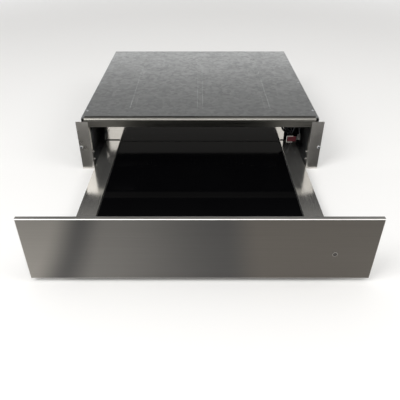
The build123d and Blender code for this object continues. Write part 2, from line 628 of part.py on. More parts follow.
def front_shell():
    """Folded stainless front, open at the back, bored for the status lens."""
    top = FRONT_BOTTOM + FRONT_HEIGHT
    half = FRONT_WIDTH / 2
    rim = FRONT_FACE + FRONT_RETURN
    shell = rounded_slab(half, (FRONT_FACE, rim), (FRONT_BOTTOM, top), FRONT_ROUND)
    inside_z = (FRONT_BOTTOM + SHEET, top - SHEET)
    shell -= rounded_slab(half - SHEET, (SHELL_INSIDE, rim), inside_z, FRONT_ROUND - SHEET)
    return shell - rod_y(LENS_X, (FRONT_FACE, SHELL_INSIDE), LENS_HEIGHT, LENS_RADIUS + SHEET + BORE_GAP)


def front_liner():
    """Pan that stiffens the front and joins it to the drawer."""
    liner = block((-LINER_HALF, LINER_HALF), (SHELL_INSIDE, LINER_BACK), (LINER_BOTTOM, LINER_TOP))
    liner -= block(
        (-LINER_HALF + SHEET, LINER_HALF - SHEET),
        (SHELL_INSIDE, LINER_BACK - SHEET),
        (LINER_BOTTOM + SHEET, LINER_TOP - SHEET),
    )
    for x, z in gusset_screw_places():
        for side in (-1, 1):
            liner -= rod_y(side * x, (LINER_BACK - SHEET, LINER_BACK), z, SCREW_HOLE)
    return liner


def front_buffers():
    """Four rubber buffers on the liner, which meet the flanges."""
    x = (FLANGE_INNER + LINER_HALF) / 2
    return [
        rod_y(side * x, (LINER_BACK, LINER_BACK + BUFFER_THICKNESS), z, 5.0)
        for side in (-1, 1)
        for z in (LINER_BOTTOM + BUFFER_INSET, LINER_TOP - BUFFER_INSET)
    ]


def gusset_screw_places():
    x = GUSSET_X - GUSSET_FLANGE / 2
    return [(x, DECK_TOP + GUSSET_SCREW_LOW), (x, DECK_TOP + GUSSET_SIZE - GUSSET_SCREW_HIGH)]


def front_gusset():
    """Triangular angle between the side strip and the liner."""
    with BuildSketch(Plane.YZ) as web:
        with BuildLine():
            Polyline(
                (LINER_BACK, DECK_TOP),
                (LINER_BACK + GUSSET_SIZE, DECK_TOP),
                (LINER_BACK + GUSSET_SIZE, DECK_TOP + 6.0),
                (LINER_BACK + 8.0, DECK_TOP + GUSSET_SIZE),
                (LINER_BACK, DECK_TOP + GUSSET_SIZE),
                close=True,
            )
        make_face()
    gusset = Pos(GUSSET_X - FLANGE_SHEET, 0, 0) * extrude(web.sketch, FLANGE_SHEET)
    x_range = (GUSSET_X - GUSSET_FLANGE, GUSSET_X)
    gusset += block(x_range, (LINER_BACK, LINER_BACK + FLANGE_SHEET), (DECK_TOP, DECK_TOP + GUSSET_SIZE))
    gusset += block(x_range, (LINER_BACK, LINER_BACK + GUSSET_SIZE), (DECK_TOP, DECK_TOP + FLANGE_SHEET))
    for x, z in gusset_screw_places():
        gusset -= rod_y(x, (LINER_BACK, LINER_BACK + FLANGE_SHEET), z, SCREW_HOLE)
    return gusset


def drawer_screws():
    """Screws through the gussets into the liner."""
    seat = LINER_BACK + FLANGE_SHEET
    screws = []
    for side in (-1, 1):
        for x, z in gusset_screw_places():
            head = rod_y(side * x, (seat, seat + 1.8), z, 3.0)
            head = fillet(head.faces().sort_by(Axis.Y)[-1].edges(), 0.8)
            screws.append(head + rod_y(side * x, (seat - 6.0, seat), z, 1.5))
    return screws


def status_pieces():
    """Ring in the front, the lens inside it, and the lamp holder on the liner."""
    bore = LENS_RADIUS + BORE_GAP
    ring_front = FRONT_FACE - 0.8
    bezel = rod_y(LENS_X, (ring_front, FRONT_FACE), LENS_HEIGHT, BEZEL_RADIUS)
    bezel = fillet(bezel.faces().sort_by(Axis.Y)[0].edges(), 0.5)
    bezel += rod_y(LENS_X, (FRONT_FACE, SHELL_INSIDE + SHEET), LENS_HEIGHT, LENS_RADIUS + SHEET)
    bezel -= rod_y(LENS_X, (ring_front, SHELL_INSIDE + SHEET), LENS_HEIGHT, bore)
    lens = rod_y(LENS_X, (ring_front + 0.3, SHELL_INSIDE + SHEET), LENS_HEIGHT, LENS_RADIUS)
    lens = fillet(lens.faces().sort_by(Axis.Y)[0].edges(), 0.6)
    lamp = rod_y(LENS_X, (SHELL_INSIDE + SHEET, LINER_BACK - SHEET), LENS_HEIGHT, LENS_RADIUS + 1.5)
    return bezel, lens, lamp


# ---------------------------------------------------------------- drawer deck and heated floor
GLASS_FRONT = LINER_BACK + FRONT_STRIP
GLASS_BACK = BACK_WALL - REAR_SEAM
LEDGE_INNER = STRIP_INNER - GLASS_LEDGE
CUTOUT_RADIUS = 6.5
CUTOUT_HEIGHT = 8.0
UPSTAND_TOP = DECK_TOP + FRONT_UPSTAND


def deck_frame():
    """Side strips and front strip in one sheet, bent down round the glass with a ledge under it."""
    opening = (GLASS_FRONT, BACK_WALL)
    frame = block((-DECK_HALF, DECK_HALF), (LINER_BACK, BACK_WALL), (DECK_UNDER, DECK_TOP))
    bend_half = STRIP_INNER + SHEET
    frame += block((-bend_half, bend_half), (GLASS_FRONT - SHEET, BACK_WALL), (GLASS_UNDER - SHEET, DECK_TOP))
    frame -= block((-STRIP_INNER, STRIP_INNER), opening, (GLASS_UNDER, DECK_TOP))
    frame -= block(
        (-LEDGE_INNER, LEDGE_INNER), (GLASS_FRONT + GLASS_LEDGE, BACK_WALL), (GLASS_UNDER - SHEET, DECK_TOP)
    )
    hem_front = LINER_BACK + FRONT_STRIP
    for side in (-1, 1):
        hem_x = sorted((side * DECK_HALF, side * (DECK_HALF - SHEET)))
        frame += block(hem_x, (hem_front, BACK_WALL), (DECK_TOP - STRIP_HEM, DECK_TOP))
        along = frame.edges().filter_by(Axis.Y)
        strip_top = along.filter_by_position(Axis.Z, DECK_TOP - 0.01, DECK_TOP + 0.01)
        inner_edge = [edge for edge in strip_top if abs(edge.center().X - side * STRIP_INNER) < 0.01]
        frame = fillet(inner_edge, 0.8 * SHEET)
    upstand = block((-STRIP_INNER, STRIP_INNER), (LINER_BACK, LINER_BACK + SHEET), (DECK_UNDER, UPSTAND_TOP))
    return frame + upstand


def glass_plate():
    half = STRIP_INNER - GLASS_SEAM
    plate = block((-half, half), (GLASS_FRONT + GLASS_SEAM, GLASS_BACK), (GLASS_UNDER, GLASS_TOP))
    return chamfer(plate.faces().sort_by(Axis.Z)[-1].edges(), 0.5)


def glass_gasket():
    """Sealing bead round the glass, and short beads at the rear wall's foot on both strips."""
    half = STRIP_INNER - GLASS_SEAM
    z_range = (GLASS_UNDER, GLASS_TOP - 0.6)
    ring = block((-STRIP_INNER, STRIP_INNER), (GLASS_FRONT, BACK_WALL), z_range)
    ring -= block((-half, half), (GLASS_FRONT + GLASS_SEAM, GLASS_BACK), z_range)
    foot_y, foot_z = (BACK_WALL - FOOT_BEAD, BACK_WALL), (DECK_TOP, DECK_TOP + FOOT_BEAD)
    strip_start = STRIP_INNER + SHEET
    left = block((-DECK_HALF, -strip_start), foot_y, foot_z)
    right = block((strip_start, DECK_HALF - CONNECTOR_BAY), foot_y, foot_z)
    return ring, left, right


def heater_span():
    """Front and back of the heater under the glass."""
    return GLASS_FRONT + GLASS_LEDGE + HEATER_MARGIN, BACK_WALL - 2 * HEATER_MARGIN


def heating_element():
    """Flat heater pressed to the glass, with a raised meander underneath."""
    half = LEDGE_INNER - HEATER_MARGIN
    front, back = heater_span()
    plate_under = HEATER_UNDER + 1.2
    element = block((-half, half), (front, back), (plate_under, GLASS_UNDER))
    rows = 9
    places = spaced(rows, front + MEANDER_END, back - MEANDER_END)
    reach = half - MEANDER_SIDE
    for index, y in enumerate(places):
        y_range = (y - MEANDER_WIDTH / 2, y + MEANDER_WIDTH / 2)
        element += block((-reach, reach), y_range, (HEATER_UNDER, plate_under))
        if index + 1 < rows:
            side = 1 if index % 2 else -1
            x_range = sorted((side * reach, side * (reach - MEANDER_WIDTH)))
            element += block(x_range, (y, places[index + 1]), (HEATER_UNDER, plate_under))
    return element


def insulation_blanket():
    half = PAN_HALF - SHEET - 1.0
    z_range = (PAN_BOTTOM + SHEET, HEATER_UNDER)
    blanket = block((-half, half), (GLASS_FRONT, BACK_WALL - 1.0), z_range)
    pocket = (HEATER_UNDER - CUTOUT_HEIGHT, HEATER_UNDER)
    return blanket - rod_z(0, cutout_y(), pocket, CUTOUT_RADIUS + FIT_GAP)


def cutout_y():
    """The overheat cut-out lies under the middle row of the heater."""
    return sum(heater_span()) / 2


def overheat_cutout():
    body = rod_z(0, cutout_y(), (HEATER_UNDER - CUTOUT_HEIGHT, HEATER_UNDER), CUTOUT_RADIUS)
    return fillet(body.faces().sort_by(Axis.Z)[0].edges(), 1.0)


def base_pan():
    """Tray under the deck."""
    front, back = LINER_BACK, BACK_WALL + 2 * SHEET
    inside = PAN_HALF - SHEET
    pan = block((-PAN_HALF, PAN_HALF), (front, back), (PAN_BOTTOM, DECK_UNDER))
    return pan - block((-inside, inside), (front + SHEET, back - SHEET), (PAN_BOTTOM + SHEET, DECK_UNDER))


def back_wall():
    """Polished rear wall with air slots above the height of the load and a hem on top."""
    top = RAIL_BOTTOM - BACK_WALL_GAP
    right = DECK_HALF - CONNECTOR_BAY
    face = (BACK_WALL, BACK_WALL + SHEET)
    wall = block((-PAN_HALF + SHEET, right), face, (PAN_BOTTOM + SHEET, top))
    wall += block((-DECK_HALF, right), face, (DECK_UNDER, top))
    wall += block((-DECK_HALF, right), (BACK_WALL, face[1] + BACK_WALL_HEM), (top - SHEET, top))
    middle = top - WALL_SLOT_DROP
    for x in spaced(7, -0.36 * FAN_DIAMETER, 0.36 * FAN_DIAMETER):
        wall -= air_slot(x, face, 9.0, middle)
    for x in spaced(8, 0.45 * DUCT_HALF_WIDTH, 0.93 * DUCT_HALF_WIDTH):
        wall -= air_slot(x, face, 9.0, middle)
        wall -= air_slot(-x, face, 9.0, middle)
    return wall


# ---------------------------------------------------------------- controls behind the front
CASE_X = (STRIP_INNER - CASE_SIDE_GAP - CASE_WIDTH, STRIP_INNER - CASE_SIDE_GAP)
CASE_Y = (LINER_BACK + SHEET, LINER_BACK + SHEET + CASE_DEPTH)
KNOB_TOP = RAIL_BOTTOM - KNOB_CLEARANCE
KNOB_UNDER = KNOB_TOP - KNOB_HEIGHT
CASE_TOP = KNOB_UNDER - FIT_GAP
CASE_CEILING = CASE_TOP - CASE_WALL
CONTROL_Y = (CASE_Y[0] + CASE_Y[1]) / 2
KNOB_X = CASE_X[1] - KNOB_FROM_SIDE
BUTTON_X = CASE_X[0] + BUTTON_FROM_SIDE
BUTTON_TOP = CASE_TOP + BUTTON_PROUD
BUTTON_UNDER = BUTTON_TOP - BUTTON_BODY
SWITCH_TOP = BUTTON_UNDER - BUTTON_TRAVEL - FIT_GAP
SWITCH_HEIGHT = 6.0
BOARD_TOP = SWITCH_TOP - SWITCH_HEIGHT
BOARD_THICKNESS = 1.6


def board_posts():
    return [
        (BUTTON_X + dx, CONTROL_Y + dy)
        for dx in (-BUTTON_FROM_SIDE / 2 - 4.0, BUTTON_FROM_SIDE / 2 + 4.0)
        for dy in (-CASE_DEPTH / 4, CASE_DEPTH / 4)
    ]


def control_case():
    """Moulded cover over the controls, standing on the front strip, with posts for the board."""
    case = block(CASE_X, CASE_Y, (DECK_TOP, CASE_TOP))
    case = fillet(case.edges().filter_by(Axis.Z).group_by(Axis.Y)[-1], 5.0)
    case = fillet(case.faces().sort_by(Axis.Z)[-1].edges(), 1.2)
    case -= block(
        (CASE_X[0] + CASE_WALL, CASE_X[1] - CASE_WALL),
        (CASE_Y[0] + CASE_WALL, CASE_Y[1] - CASE_WALL),
        (DECK_TOP, CASE_CEILING),
    )
    for x, y in board_posts():
        case += rod_z(x, y, (BOARD_TOP, CASE_CEILING), 2.5)
    case -= rod_z(KNOB_X, CONTROL_Y, (CASE_CEILING, CASE_TOP), SHAFT_RADIUS + 1.0)
    return case - rod_z(BUTTON_X, CONTROL_Y, (CASE_CEILING, CASE_TOP), BUTTON_RADIUS + FIT_GAP)


def thermostat():
    """Switch body under the case top, bored for the shaft."""
    half = THERMOSTAT_WIDTH / 2
    z_range = (CASE_CEILING - THERMOSTAT_HEIGHT, CASE_CEILING)
    deep = THERMOSTAT_DEPTH / 2
    body = block((KNOB_X - half, KNOB_X + half), (CONTROL_Y - deep, CONTROL_Y + deep), z_range)
    body = fillet(body.edges().filter_by(Axis.Z), 3.0)
    return body - rod_z(KNOB_X, CONTROL_Y, (z_range[0] + 6.0, z_range[1]), SHAFT_RADIUS + BORE_GAP)


def thermostat_shaft():
    low = CASE_CEILING - THERMOSTAT_HEIGHT + 6.0 + FIT_GAP
    return rod_z(KNOB_X, CONTROL_Y, (low, KNOB_TOP - 4.0), SHAFT_RADIUS)


def temperature_knob():
    """Fluted knob with a grip ridge and a blind bore for the shaft."""
    radius = KNOB_DIAMETER / 2
    knob = rod_z(KNOB_X, CONTROL_Y, (KNOB_UNDER, KNOB_TOP), radius)
    knob = fillet(knob.faces().sort_by(Axis.Z)[-1].edges(), 1.5)
    flutes = 24
    for index in range(flutes):
        angle = 2 * pi * index / flutes
        x, y = KNOB_X + radius * cos(angle), CONTROL_Y + radius * sin(angle)
        knob -= rod_z(x, y, (KNOB_UNDER + 3.0, KNOB_TOP), 0.9)
    for side in (-1, 1):
        y_range = sorted((CONTROL_Y + side * 3.0, CONTROL_Y + side * radius))
        knob -= block((KNOB_X - radius, KNOB_X + radius), y_range, (KNOB_TOP - 3.0, KNOB_TOP)) & rod_z(
            KNOB_X, CONTROL_Y, (KNOB_TOP - 3.0, KNOB_TOP), radius - 3.0
        )
    return knob - rod_z(KNOB_X, CONTROL_Y, (KNOB_UNDER, KNOB_TOP - 4.0), SHAFT_RADIUS)


def power_button():
    button = rod_z(BUTTON_X, CONTROL_Y, (BUTTON_UNDER, BUTTON_TOP), BUTTON_RADIUS)
    button = fillet(button.faces().sort_by(Axis.Z)[-1].edges(), 1.0)
    collar_top = CASE_CEILING - FIT_GAP
    return button + rod_z(BUTTON_X, CONTROL_Y, (BUTTON_UNDER, collar_top), BUTTON_RADIUS + 1.5)


def control_board():
    """Board on the case's posts, with the switch under the button."""
    x_reach, y_reach = BUTTON_FROM_SIDE / 2 + 8.0, CASE_DEPTH / 2 - CASE_WALL - 1.0
    switch_half = 5.0
    board = block(
        (BUTTON_X - x_reach, BUTTON_X + x_reach),
        (CONTROL_Y - y_reach, CONTROL_Y + y_reach),
        (BOARD_TOP - BOARD_THICKNESS, BOARD_TOP),
    )
    switch = block(
        (BUTTON_X - switch_half, BUTTON_X + switch_half),
        (CONTROL_Y - switch_half, CONTROL_Y + switch_half),
        (BOARD_TOP, SWITCH_TOP),
    )
    return board + switch


# ---------------------------------------------------------------- rear corner connector and wiring
CONNECTOR_X = (DECK_HALF - CONNECTOR_INSET, DECK_HALF - CONNECTOR_INSET + CONNECTOR_WIDTH)
CONNECTOR_Y = (BACK_WALL - CONNECTOR_DEPTH, BACK_WALL)
CONNECTOR_MIDDLE = (CONNECTOR_X[0] + CONNECTOR_X[1] + SHEET) / 2
CONNECTOR_Z = DECK_TOP + CONNECTOR_HEIGHT / 2
CLIP_Y = BACK_WALL + 3.0 + DRAWER_OPEN / 2
HARNESS_END_Y = BAFFLE + REAR_SPACE / 2 + 3.0


def connector_bracket():
    """Bright angle box on the side strip, open towards the front and the right, with its cable tab."""
    top = DECK_TOP + CONNECTOR_HEIGHT
    front, back = CONNECTOR_Y
    inner, outer = CONNECTOR_X
    box = block(CONNECTOR_X, CONNECTOR_Y, (DECK_TOP, top))
    box -= block((inner + SHEET, outer), (front, back - SHEET), (DECK_TOP + SHEET, top - SHEET))
    box += block((outer, outer + CONNECTOR_TAB), (back - SHEET, back), (DECK_TOP + SHEET, top))
    return box - rod_y(CONNECTOR_MIDDLE, (back - SHEET, back), CONNECTOR_Z, CABLE_RADIUS + BORE_GAP)


def drawer_connector():
    """Plug housing in the bracket."""
    half = 11.0
    y_range = (CONNECTOR_Y[0] + 2.0, CONNECTOR_Y[1] - SHEET)
    z_range = (DECK_TOP + SHEET, DECK_TOP + CONNECTOR_HEIGHT - SHEET)
    body = block((CONNECTOR_MIDDLE - half, CONNECTOR_MIDDLE + half), y_range, z_range)
    return fillet(body.faces().sort_by(Axis.Y)[0].edges(), 1.0)


def drawer_harness():
    """Cable from the connector back to the clip in the middle of the travel."""
    start = CONNECTOR_Y[1] - SHEET
    reach = CLIP_Y - start
    return cable(
        [
            (CONNECTOR_MIDDLE, start, CONNECTOR_Z),
            (CONNECTOR_MIDDLE, start + 0.14 * reach, CONNECTOR_Z),
            (CABLE_X - 12.0, start + 0.31 * reach, CONNECTOR_Z - 5.0),
            (CABLE_X - 3.0, start + 0.50 * reach, CABLE_Z + 11.0),
            (CABLE_X + 1.0, start + 0.68 * reach, CABLE_Z + 2.5),
            (CABLE_X, start + 0.85 * reach, CABLE_Z),
            (CABLE_X, CLIP_Y, CABLE_Z),
        ]
    )


def housing_harness():
    """Cable from the clip along the wall, round the baffle and into the terminal box."""
    end_x = TERMINAL_X[1] - CASE_WALL
    reach = BAFFLE - CLIP_Y
    return cable(
        [
            (CABLE_X, CLIP_Y, CABLE_Z),
            (CABLE_X, CLIP_Y + 0.25 * reach, CABLE_Z),
            (CABLE_X + 0.5, CLIP_Y + 0.5 * reach, CABLE_Z + 0.3),
            (CABLE_X + 0.2, CLIP_Y + 0.72 * reach, CABLE_Z),
            (CABLE_X + 0.6, BAFFLE - 14.0, CABLE_Z + 0.2),
            (CABLE_X - 4.0, BAFFLE + 9.0, CABLE_Z),
            (CABLE_X - 18.0, HARNESS_END_Y - 4.0, CABLE_Z + 0.2),
            (end_x + 12.0, HARNESS_END_Y, CABLE_Z),
            (end_x, HARNESS_END_Y, CABLE_Z),
        ]
    )


def cable_clips():
    """Clips on the housing floor, at the end of the moving length and half way to the baffle."""
    low_x, high_x = CABLE_X - CABLE_RADIUS - 2.5, CABLE_X + CABLE_RADIUS + 3.5
    top = CABLE_Z + CABLE_RADIUS + 2.0
    clips = []
    for y in (CLIP_Y, (CLIP_Y + BAFFLE) / 2):
        y_range = (y - CLIP_LENGTH / 2, y + CLIP_LENGTH / 2)
        clip = block((low_x, high_x), y_range, (FLOOR_TOP + FLANGE_SHEET, top))
        clip = fillet(clip.edges().filter_by(Axis.Y).group_by(Axis.Z)[-1], 3.0)
        clips.append(clip - rod_y(CABLE_X, y_range, CABLE_Z, CABLE_RADIUS + 0.8))
    return clips


# ---------------------------------------------------------------- writing the nodes
def main():
    os.makedirs("parts", exist_ok=True)
    save("base_plate", base_plate())
    save_pair("side_wall", [side_wall()])
    save("rear_wall", rear_wall())
    save("top_cover", top_cover())
    save_pair("flange", [flange()])
    save("top_rail", top_rail())
    save("rail_rivets", *rail_rivets())
    save("housing_screws", *housing_screws())
    save("guide_buttons", *guide_buttons())
    save_pair("runner_bracket", [runner_bracket()])
    save("rear_baffle", rear_baffle())
    save("air_duct", air_duct())
    save("fan_motor", fan_motor())
    save("fan_impeller", *fan_impeller())
    save("terminal_box", terminal_box())
    save("terminal_block", terminal_block())
    save("cable_gland", cable_gland())
    latch_body, latch_plunger, latch_spring = latch_pieces()
    save("latch_body", latch_body)
    save("latch_plunger", latch_plunger)
    save("latch_spring", latch_spring)
    save_runners()
    save("front_shell", front_shell())
    save("front_liner", front_liner())
    save("front_buffers", *front_buffers())
    gusset = front_gusset()
    save("front_gussets", gusset, mirrored(gusset))
    save("drawer_screws", *drawer_screws())
    bezel, lens, lamp = status_pieces()
    save("status_bezel", bezel)
    save("status_lens", lens)
    save("status_lamp", lamp)
    save("deck_frame", deck_frame())
    save("glass_plate", glass_plate())
    save("glass_gasket", *glass_gasket())
    save("heating_element", heating_element())
    save("insulation_blanket", insulation_blanket())
    save("overheat_cutout", overheat_cutout())
    save("base_pan", base_pan())
    save("back_wall", back_wall())
    save("control_case", control_case())
    save("thermostat", thermostat())
    save("thermostat_shaft", thermostat_shaft())
    save("temperature_knob", temperature_knob())
    save("power_button", power_button())
    save("control_board", control_board())
    save("connector_bracket", connector_bracket())
    save("drawer_connector", drawer_connector())
    save("drawer_harness", drawer_harness())
    save("housing_harness", housing_harness())
    save("cable_clips", *cable_clips())


main()
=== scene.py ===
"""Built in warming drawer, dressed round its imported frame: metres, +Z up, front towards -Y."""

import math

import bmesh
import bpy
from mathutils import Euler, Matrix, Vector


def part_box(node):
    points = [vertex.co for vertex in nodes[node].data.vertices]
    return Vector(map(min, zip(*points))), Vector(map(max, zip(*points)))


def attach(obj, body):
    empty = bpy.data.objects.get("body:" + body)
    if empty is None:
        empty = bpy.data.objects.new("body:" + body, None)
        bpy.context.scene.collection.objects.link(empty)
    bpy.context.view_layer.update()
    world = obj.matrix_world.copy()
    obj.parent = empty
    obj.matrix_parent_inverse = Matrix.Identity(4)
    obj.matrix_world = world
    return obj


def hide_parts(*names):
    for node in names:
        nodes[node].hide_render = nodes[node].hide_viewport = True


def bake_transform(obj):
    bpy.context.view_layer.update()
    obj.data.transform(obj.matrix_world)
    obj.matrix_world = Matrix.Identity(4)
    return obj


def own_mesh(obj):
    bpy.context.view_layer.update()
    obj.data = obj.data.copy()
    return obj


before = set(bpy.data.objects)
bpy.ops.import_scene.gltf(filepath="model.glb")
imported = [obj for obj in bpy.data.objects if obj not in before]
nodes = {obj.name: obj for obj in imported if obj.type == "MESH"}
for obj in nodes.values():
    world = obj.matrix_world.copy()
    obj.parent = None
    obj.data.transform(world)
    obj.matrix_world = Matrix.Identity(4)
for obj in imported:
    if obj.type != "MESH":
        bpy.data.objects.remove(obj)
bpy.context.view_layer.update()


# ---------------------------------------------------------------- camera
# The camera looks down on the drawer from standing height. The lens and the height come from the
# vanishing points of the photograph, with the front set to its real width.
CAMERA_PLACE = (0.0, -1.2295, 0.5679)
CAMERA_TILT = math.radians(55.41)
CAMERA_LENS, CAMERA_SENSOR = 40.16, 36.0      # millimetres

camera_data = bpy.data.cameras.new("camera")
camera_data.lens = CAMERA_LENS
camera_data.sensor_width = CAMERA_SENSOR
camera = bpy.data.objects.new("camera", camera_data)
camera.location = CAMERA_PLACE
camera.rotation_euler = (CAMERA_TILT, 0.0, 0.0)
bpy.context.scene.collection.objects.link(camera)
bpy.context.scene.camera = camera
bpy.context.scene.view_settings.view_transform = "Standard"


# ---------------------------------------------------------------- studio
# A pale seamless floor under white surroundings, and three large soft lamps. Dark cards stand behind
# and before the drawer and lie beside it; only gleaming metal and glass see them.
FLOOR_HALF = 9.0
FLOOR_FADE = (1.3, 3.4)       # the floor runs out into the white between these distances
WORLD_LIGHT = 0.62
BACK_CARD = (0.36, 0.95, 0.3, 1.45)      # how far behind, half width, foot and top
BACK_CARD_CLIMB = (0.555, 0.69)          # heights between which it goes from dark to grey
FRONT_CARD = (-3.0, 3.0, 0.0, 1.0)       # likewise, before the drawer
SIDE_CARD_REACH = (0.27, 0.75)           # side cards lie on the floor, from the middle outwards
SIDE_CARD_DEPTH = (-0.655, -0.272)       # and from the front to the flanges
SIDE_CARD_LIFT = 0.002


def linear(hex_colour):
    """sRGB hex to the linear colour that a shader takes."""
    parts = [int(hex_colour[place:place + 2], 16) / 255 for place in (1, 3, 5)]
    return (*[p / 12.92 if p <= 0.04045 else ((p + 0.055) / 1.055) ** 2.4 for p in parts], 1.0)


def add_node(tree, kind, values=None, links=None, **settings):
    """Add one node: settings are its own properties, values its inputs, links the sockets they take."""
    node = tree.nodes.new(kind)
    for name, value in settings.items():
        setattr(node, name, value)
    for name, value in (values or {}).items():
        node.inputs[name].default_value = value
    for name, socket in (links or {}).items():
        tree.links.new(socket, node.inputs[name])
    return node


def new_finish(name, colour, **values):
    """A material of one Principled shader; returns the material, its tree and the shader."""
    material = bpy.data.materials.new(name)
    material.use_nodes = True
    shader = material.node_tree.nodes["Principled BSDF"]
    shader.inputs["Base Color"].default_value = linear(colour)
    for socket, value in values.items():
        shader.inputs[socket.replace("_", " ")].default_value = value
    return material, material.node_tree, shader


def card(name, corners):
    """Flat sheet that isn't part of the object."""
    mesh = bpy.data.meshes.new(name)
    mesh.from_pydata(corners, [], [(0, 1, 2, 3)])
    piece = bpy.data.objects.new(name, mesh)
    bpy.context.scene.collection.objects.link(piece)
    return piece


floor = card("floor", [(-FLOOR_HALF, -FLOOR_HALF, 0), (FLOOR_HALF, -FLOOR_HALF, 0),
                       (FLOOR_HALF, FLOOR_HALF, 0), (-FLOOR_HALF, FLOOR_HALF, 0)])
floor_paint, floor_tree, floor_shader = new_finish("matt_white_floor", "#f4f3f1", Roughness=0.9)
floor_place = add_node(floor_tree, "ShaderNodeTexCoord")
floor_distance = add_node(floor_tree, "ShaderNodeVectorMath", operation="LENGTH",
                          links={0: floor_place.outputs["Object"]})
floor_share = add_node(floor_tree, "ShaderNodeMapRange", interpolation_type="SMOOTHSTEP",
                       values={1: FLOOR_FADE[0], 2: FLOOR_FADE[1], 3: 1.0, 4: 0.0},
                       links={0: floor_distance.outputs["Value"]})
floor_tree.links.new(floor_share.outputs[0], floor_shader.inputs["Alpha"])
floor.data.materials.append(floor_paint)


def dark_card(name, corners, low_tone, high_tone, low=0.0, high=1.0):
    """Card that only reflections see; its tone climbs between two heights."""
    piece = card(name, corners)
    paint = bpy.data.materials.new(name)
    paint.use_nodes = True
    tree = paint.node_tree
    tree.nodes.clear()
    place = add_node(tree, "ShaderNodeTexCoord")
    height = add_node(tree, "ShaderNodeSeparateXYZ", links={0: place.outputs["Object"]})
    climb = add_node(tree, "ShaderNodeMapRange", {1: low, 2: high}, {0: height.outputs["Z"]})
    tone = add_node(tree, "ShaderNodeMix", data_type="RGBA", links={0: climb.outputs[0]})
    tone.inputs[6].default_value = linear(low_tone)
    tone.inputs[7].default_value = linear(high_tone)
    glow = add_node(tree, "ShaderNodeEmission", links={"Color": tone.outputs[2]})
    add_node(tree, "ShaderNodeOutputMaterial", links={"Surface": glow.outputs[0]})
    piece.data.materials.append(paint)
    piece.visible_camera = False
    piece.visible_diffuse = False
    piece.visible_shadow = False


def upright(y, half, low, high):
    """Corners of a card that stands across the view."""
    return [(-half, y, low), (half, y, low), (half, y, high), (-half, y, high)]


def lying(x_low, x_high, y_low, y_high):
    """Corners of a card that lies just above the floor."""
    outline = ((x_low, y_low), (x_high, y_low), (x_high, y_high), (x_low, y_high))
    return [(x, y, SIDE_CARD_LIFT) for x, y in outline]


dark_card("back_card", upright(*BACK_CARD), "#1d1d1d", "#6f6e6d", *BACK_CARD_CLIMB)
dark_card("front_card", upright(*FRONT_CARD), "#232322", "#232322")
left_reach = [-reach for reach in reversed(SIDE_CARD_REACH)]
dark_card("left_card", lying(*left_reach, *SIDE_CARD_DEPTH), "#4a4946", "#4a4946")
dark_card("right_card", lying(*SIDE_CARD_REACH, *SIDE_CARD_DEPTH), "#2f2e2d", "#2f2e2d")

world = bpy.data.worlds.new("studio")
bpy.context.scene.world = world
world.use_nodes = True
sky = world.node_tree
sky.nodes.clear()
ray = add_node(sky, "ShaderNodeLightPath")
seen = add_node(sky, "ShaderNodeMath", operation="MAXIMUM",
                links={0: ray.outputs["Is Camera Ray"], 1: ray.outputs["Is Glossy Ray"]})
seen_through = add_node(sky, "ShaderNodeMath", operation="MAXIMUM",
                        links={0: seen.outputs[0], 1: ray.outputs["Is Transmission Ray"]})
light = add_node(sky, "ShaderNodeBackground", {"Color": (1, 1, 1, 1), "Strength": WORLD_LIGHT})
white = add_node(sky, "ShaderNodeBackground", {"Color": (1, 1, 1, 1), "Strength": 1.0})
both = add_node(sky, "ShaderNodeMixShader",
                links={0: seen_through.outputs[0], 1: light.outputs[0], 2: white.outputs[0]})
add_node(sky, "ShaderNodeOutputWorld", links={"Surface": both.outputs[0]})


def soft_lamp(name, place, aim, size, power):
    """Flat lamp turned to a point: metres and watts."""
    lamp_data = bpy.data.lights.new(name, "AREA")
    lamp_data.shape = "RECTANGLE"
    lamp_data.size, lamp_data.size_y = size
    lamp_data.energy = power
    lamp = bpy.data.objects.new(name, lamp_data)
    lamp.location = place
    lamp.rotation_euler = (Vector(aim) - Vector(place)).to_track_quat("-Z", "Y").to_euler()
    bpy.context.scene.collection.objects.link(lamp)


soft_lamp("key_lamp", place=(-1.3, -1.5, 1.9), aim=(0.0, -0.4, 0.0), size=(1.2, 1.2), power=26)
soft_lamp("fill_lamp", place=(1.7, -0.9, 1.6), aim=(0.0, -0.3, 0.0), size=(1.4, 1.0), power=11)
soft_lamp("top_lamp", place=(0.2, -1.9, 2.1), aim=(0.0, -0.2, 0.05), size=(1.0, 0.6), power=9)


# ---------------------------------------------------------------- housing sheet steel
# Base, walls, cover, rear wall, partition, runner angles, fan pan and the drawer's tray, liner and
# gussets are bent from hot dip galvanised sheet. The zinc froze in flat crystals, each of its own grey.
SPANGLE = 0.009               # crystals of 5 to 12 mm
SPANGLE_SHARE = 0.55          # of the tone; slow clouds in the zinc give the rest
SHEET_CLOUDS = 14.0           # clouds about 70 mm across: so many in a metre


def dress(material, *names):
    """Give CAD nodes a finish."""
    for name in names:
        mesh = nodes[name].data
        mesh.materials.clear()
        mesh.materials.append(material)


def object_place(tree, stretch=(1.0, 1.0, 1.0)):
    """Object coordinates, scaled along each axis."""
    place = add_node(tree, "ShaderNodeTexCoord")
    mapping = add_node(tree, "ShaderNodeMapping", {"Scale": stretch}, {"Vector": place.outputs["Object"]})
    return mapping.outputs[0]


def blend_tones(tree, factor, low, high):
    """Colour between two hex tones."""
    tones = add_node(tree, "ShaderNodeMix", data_type="RGBA", links={0: factor})
    tones.inputs[6].default_value = linear(low)
    tones.inputs[7].default_value = linear(high)
    return tones.outputs[2]


def span(tree, value, low, high, from_low=0.0, from_high=1.0):
    """Map a value's range to another range."""
    ranged = add_node(tree, "ShaderNodeMapRange", {1: from_low, 2: from_high, 3: low, 4: high}, {0: value})
    return ranged.outputs[0]


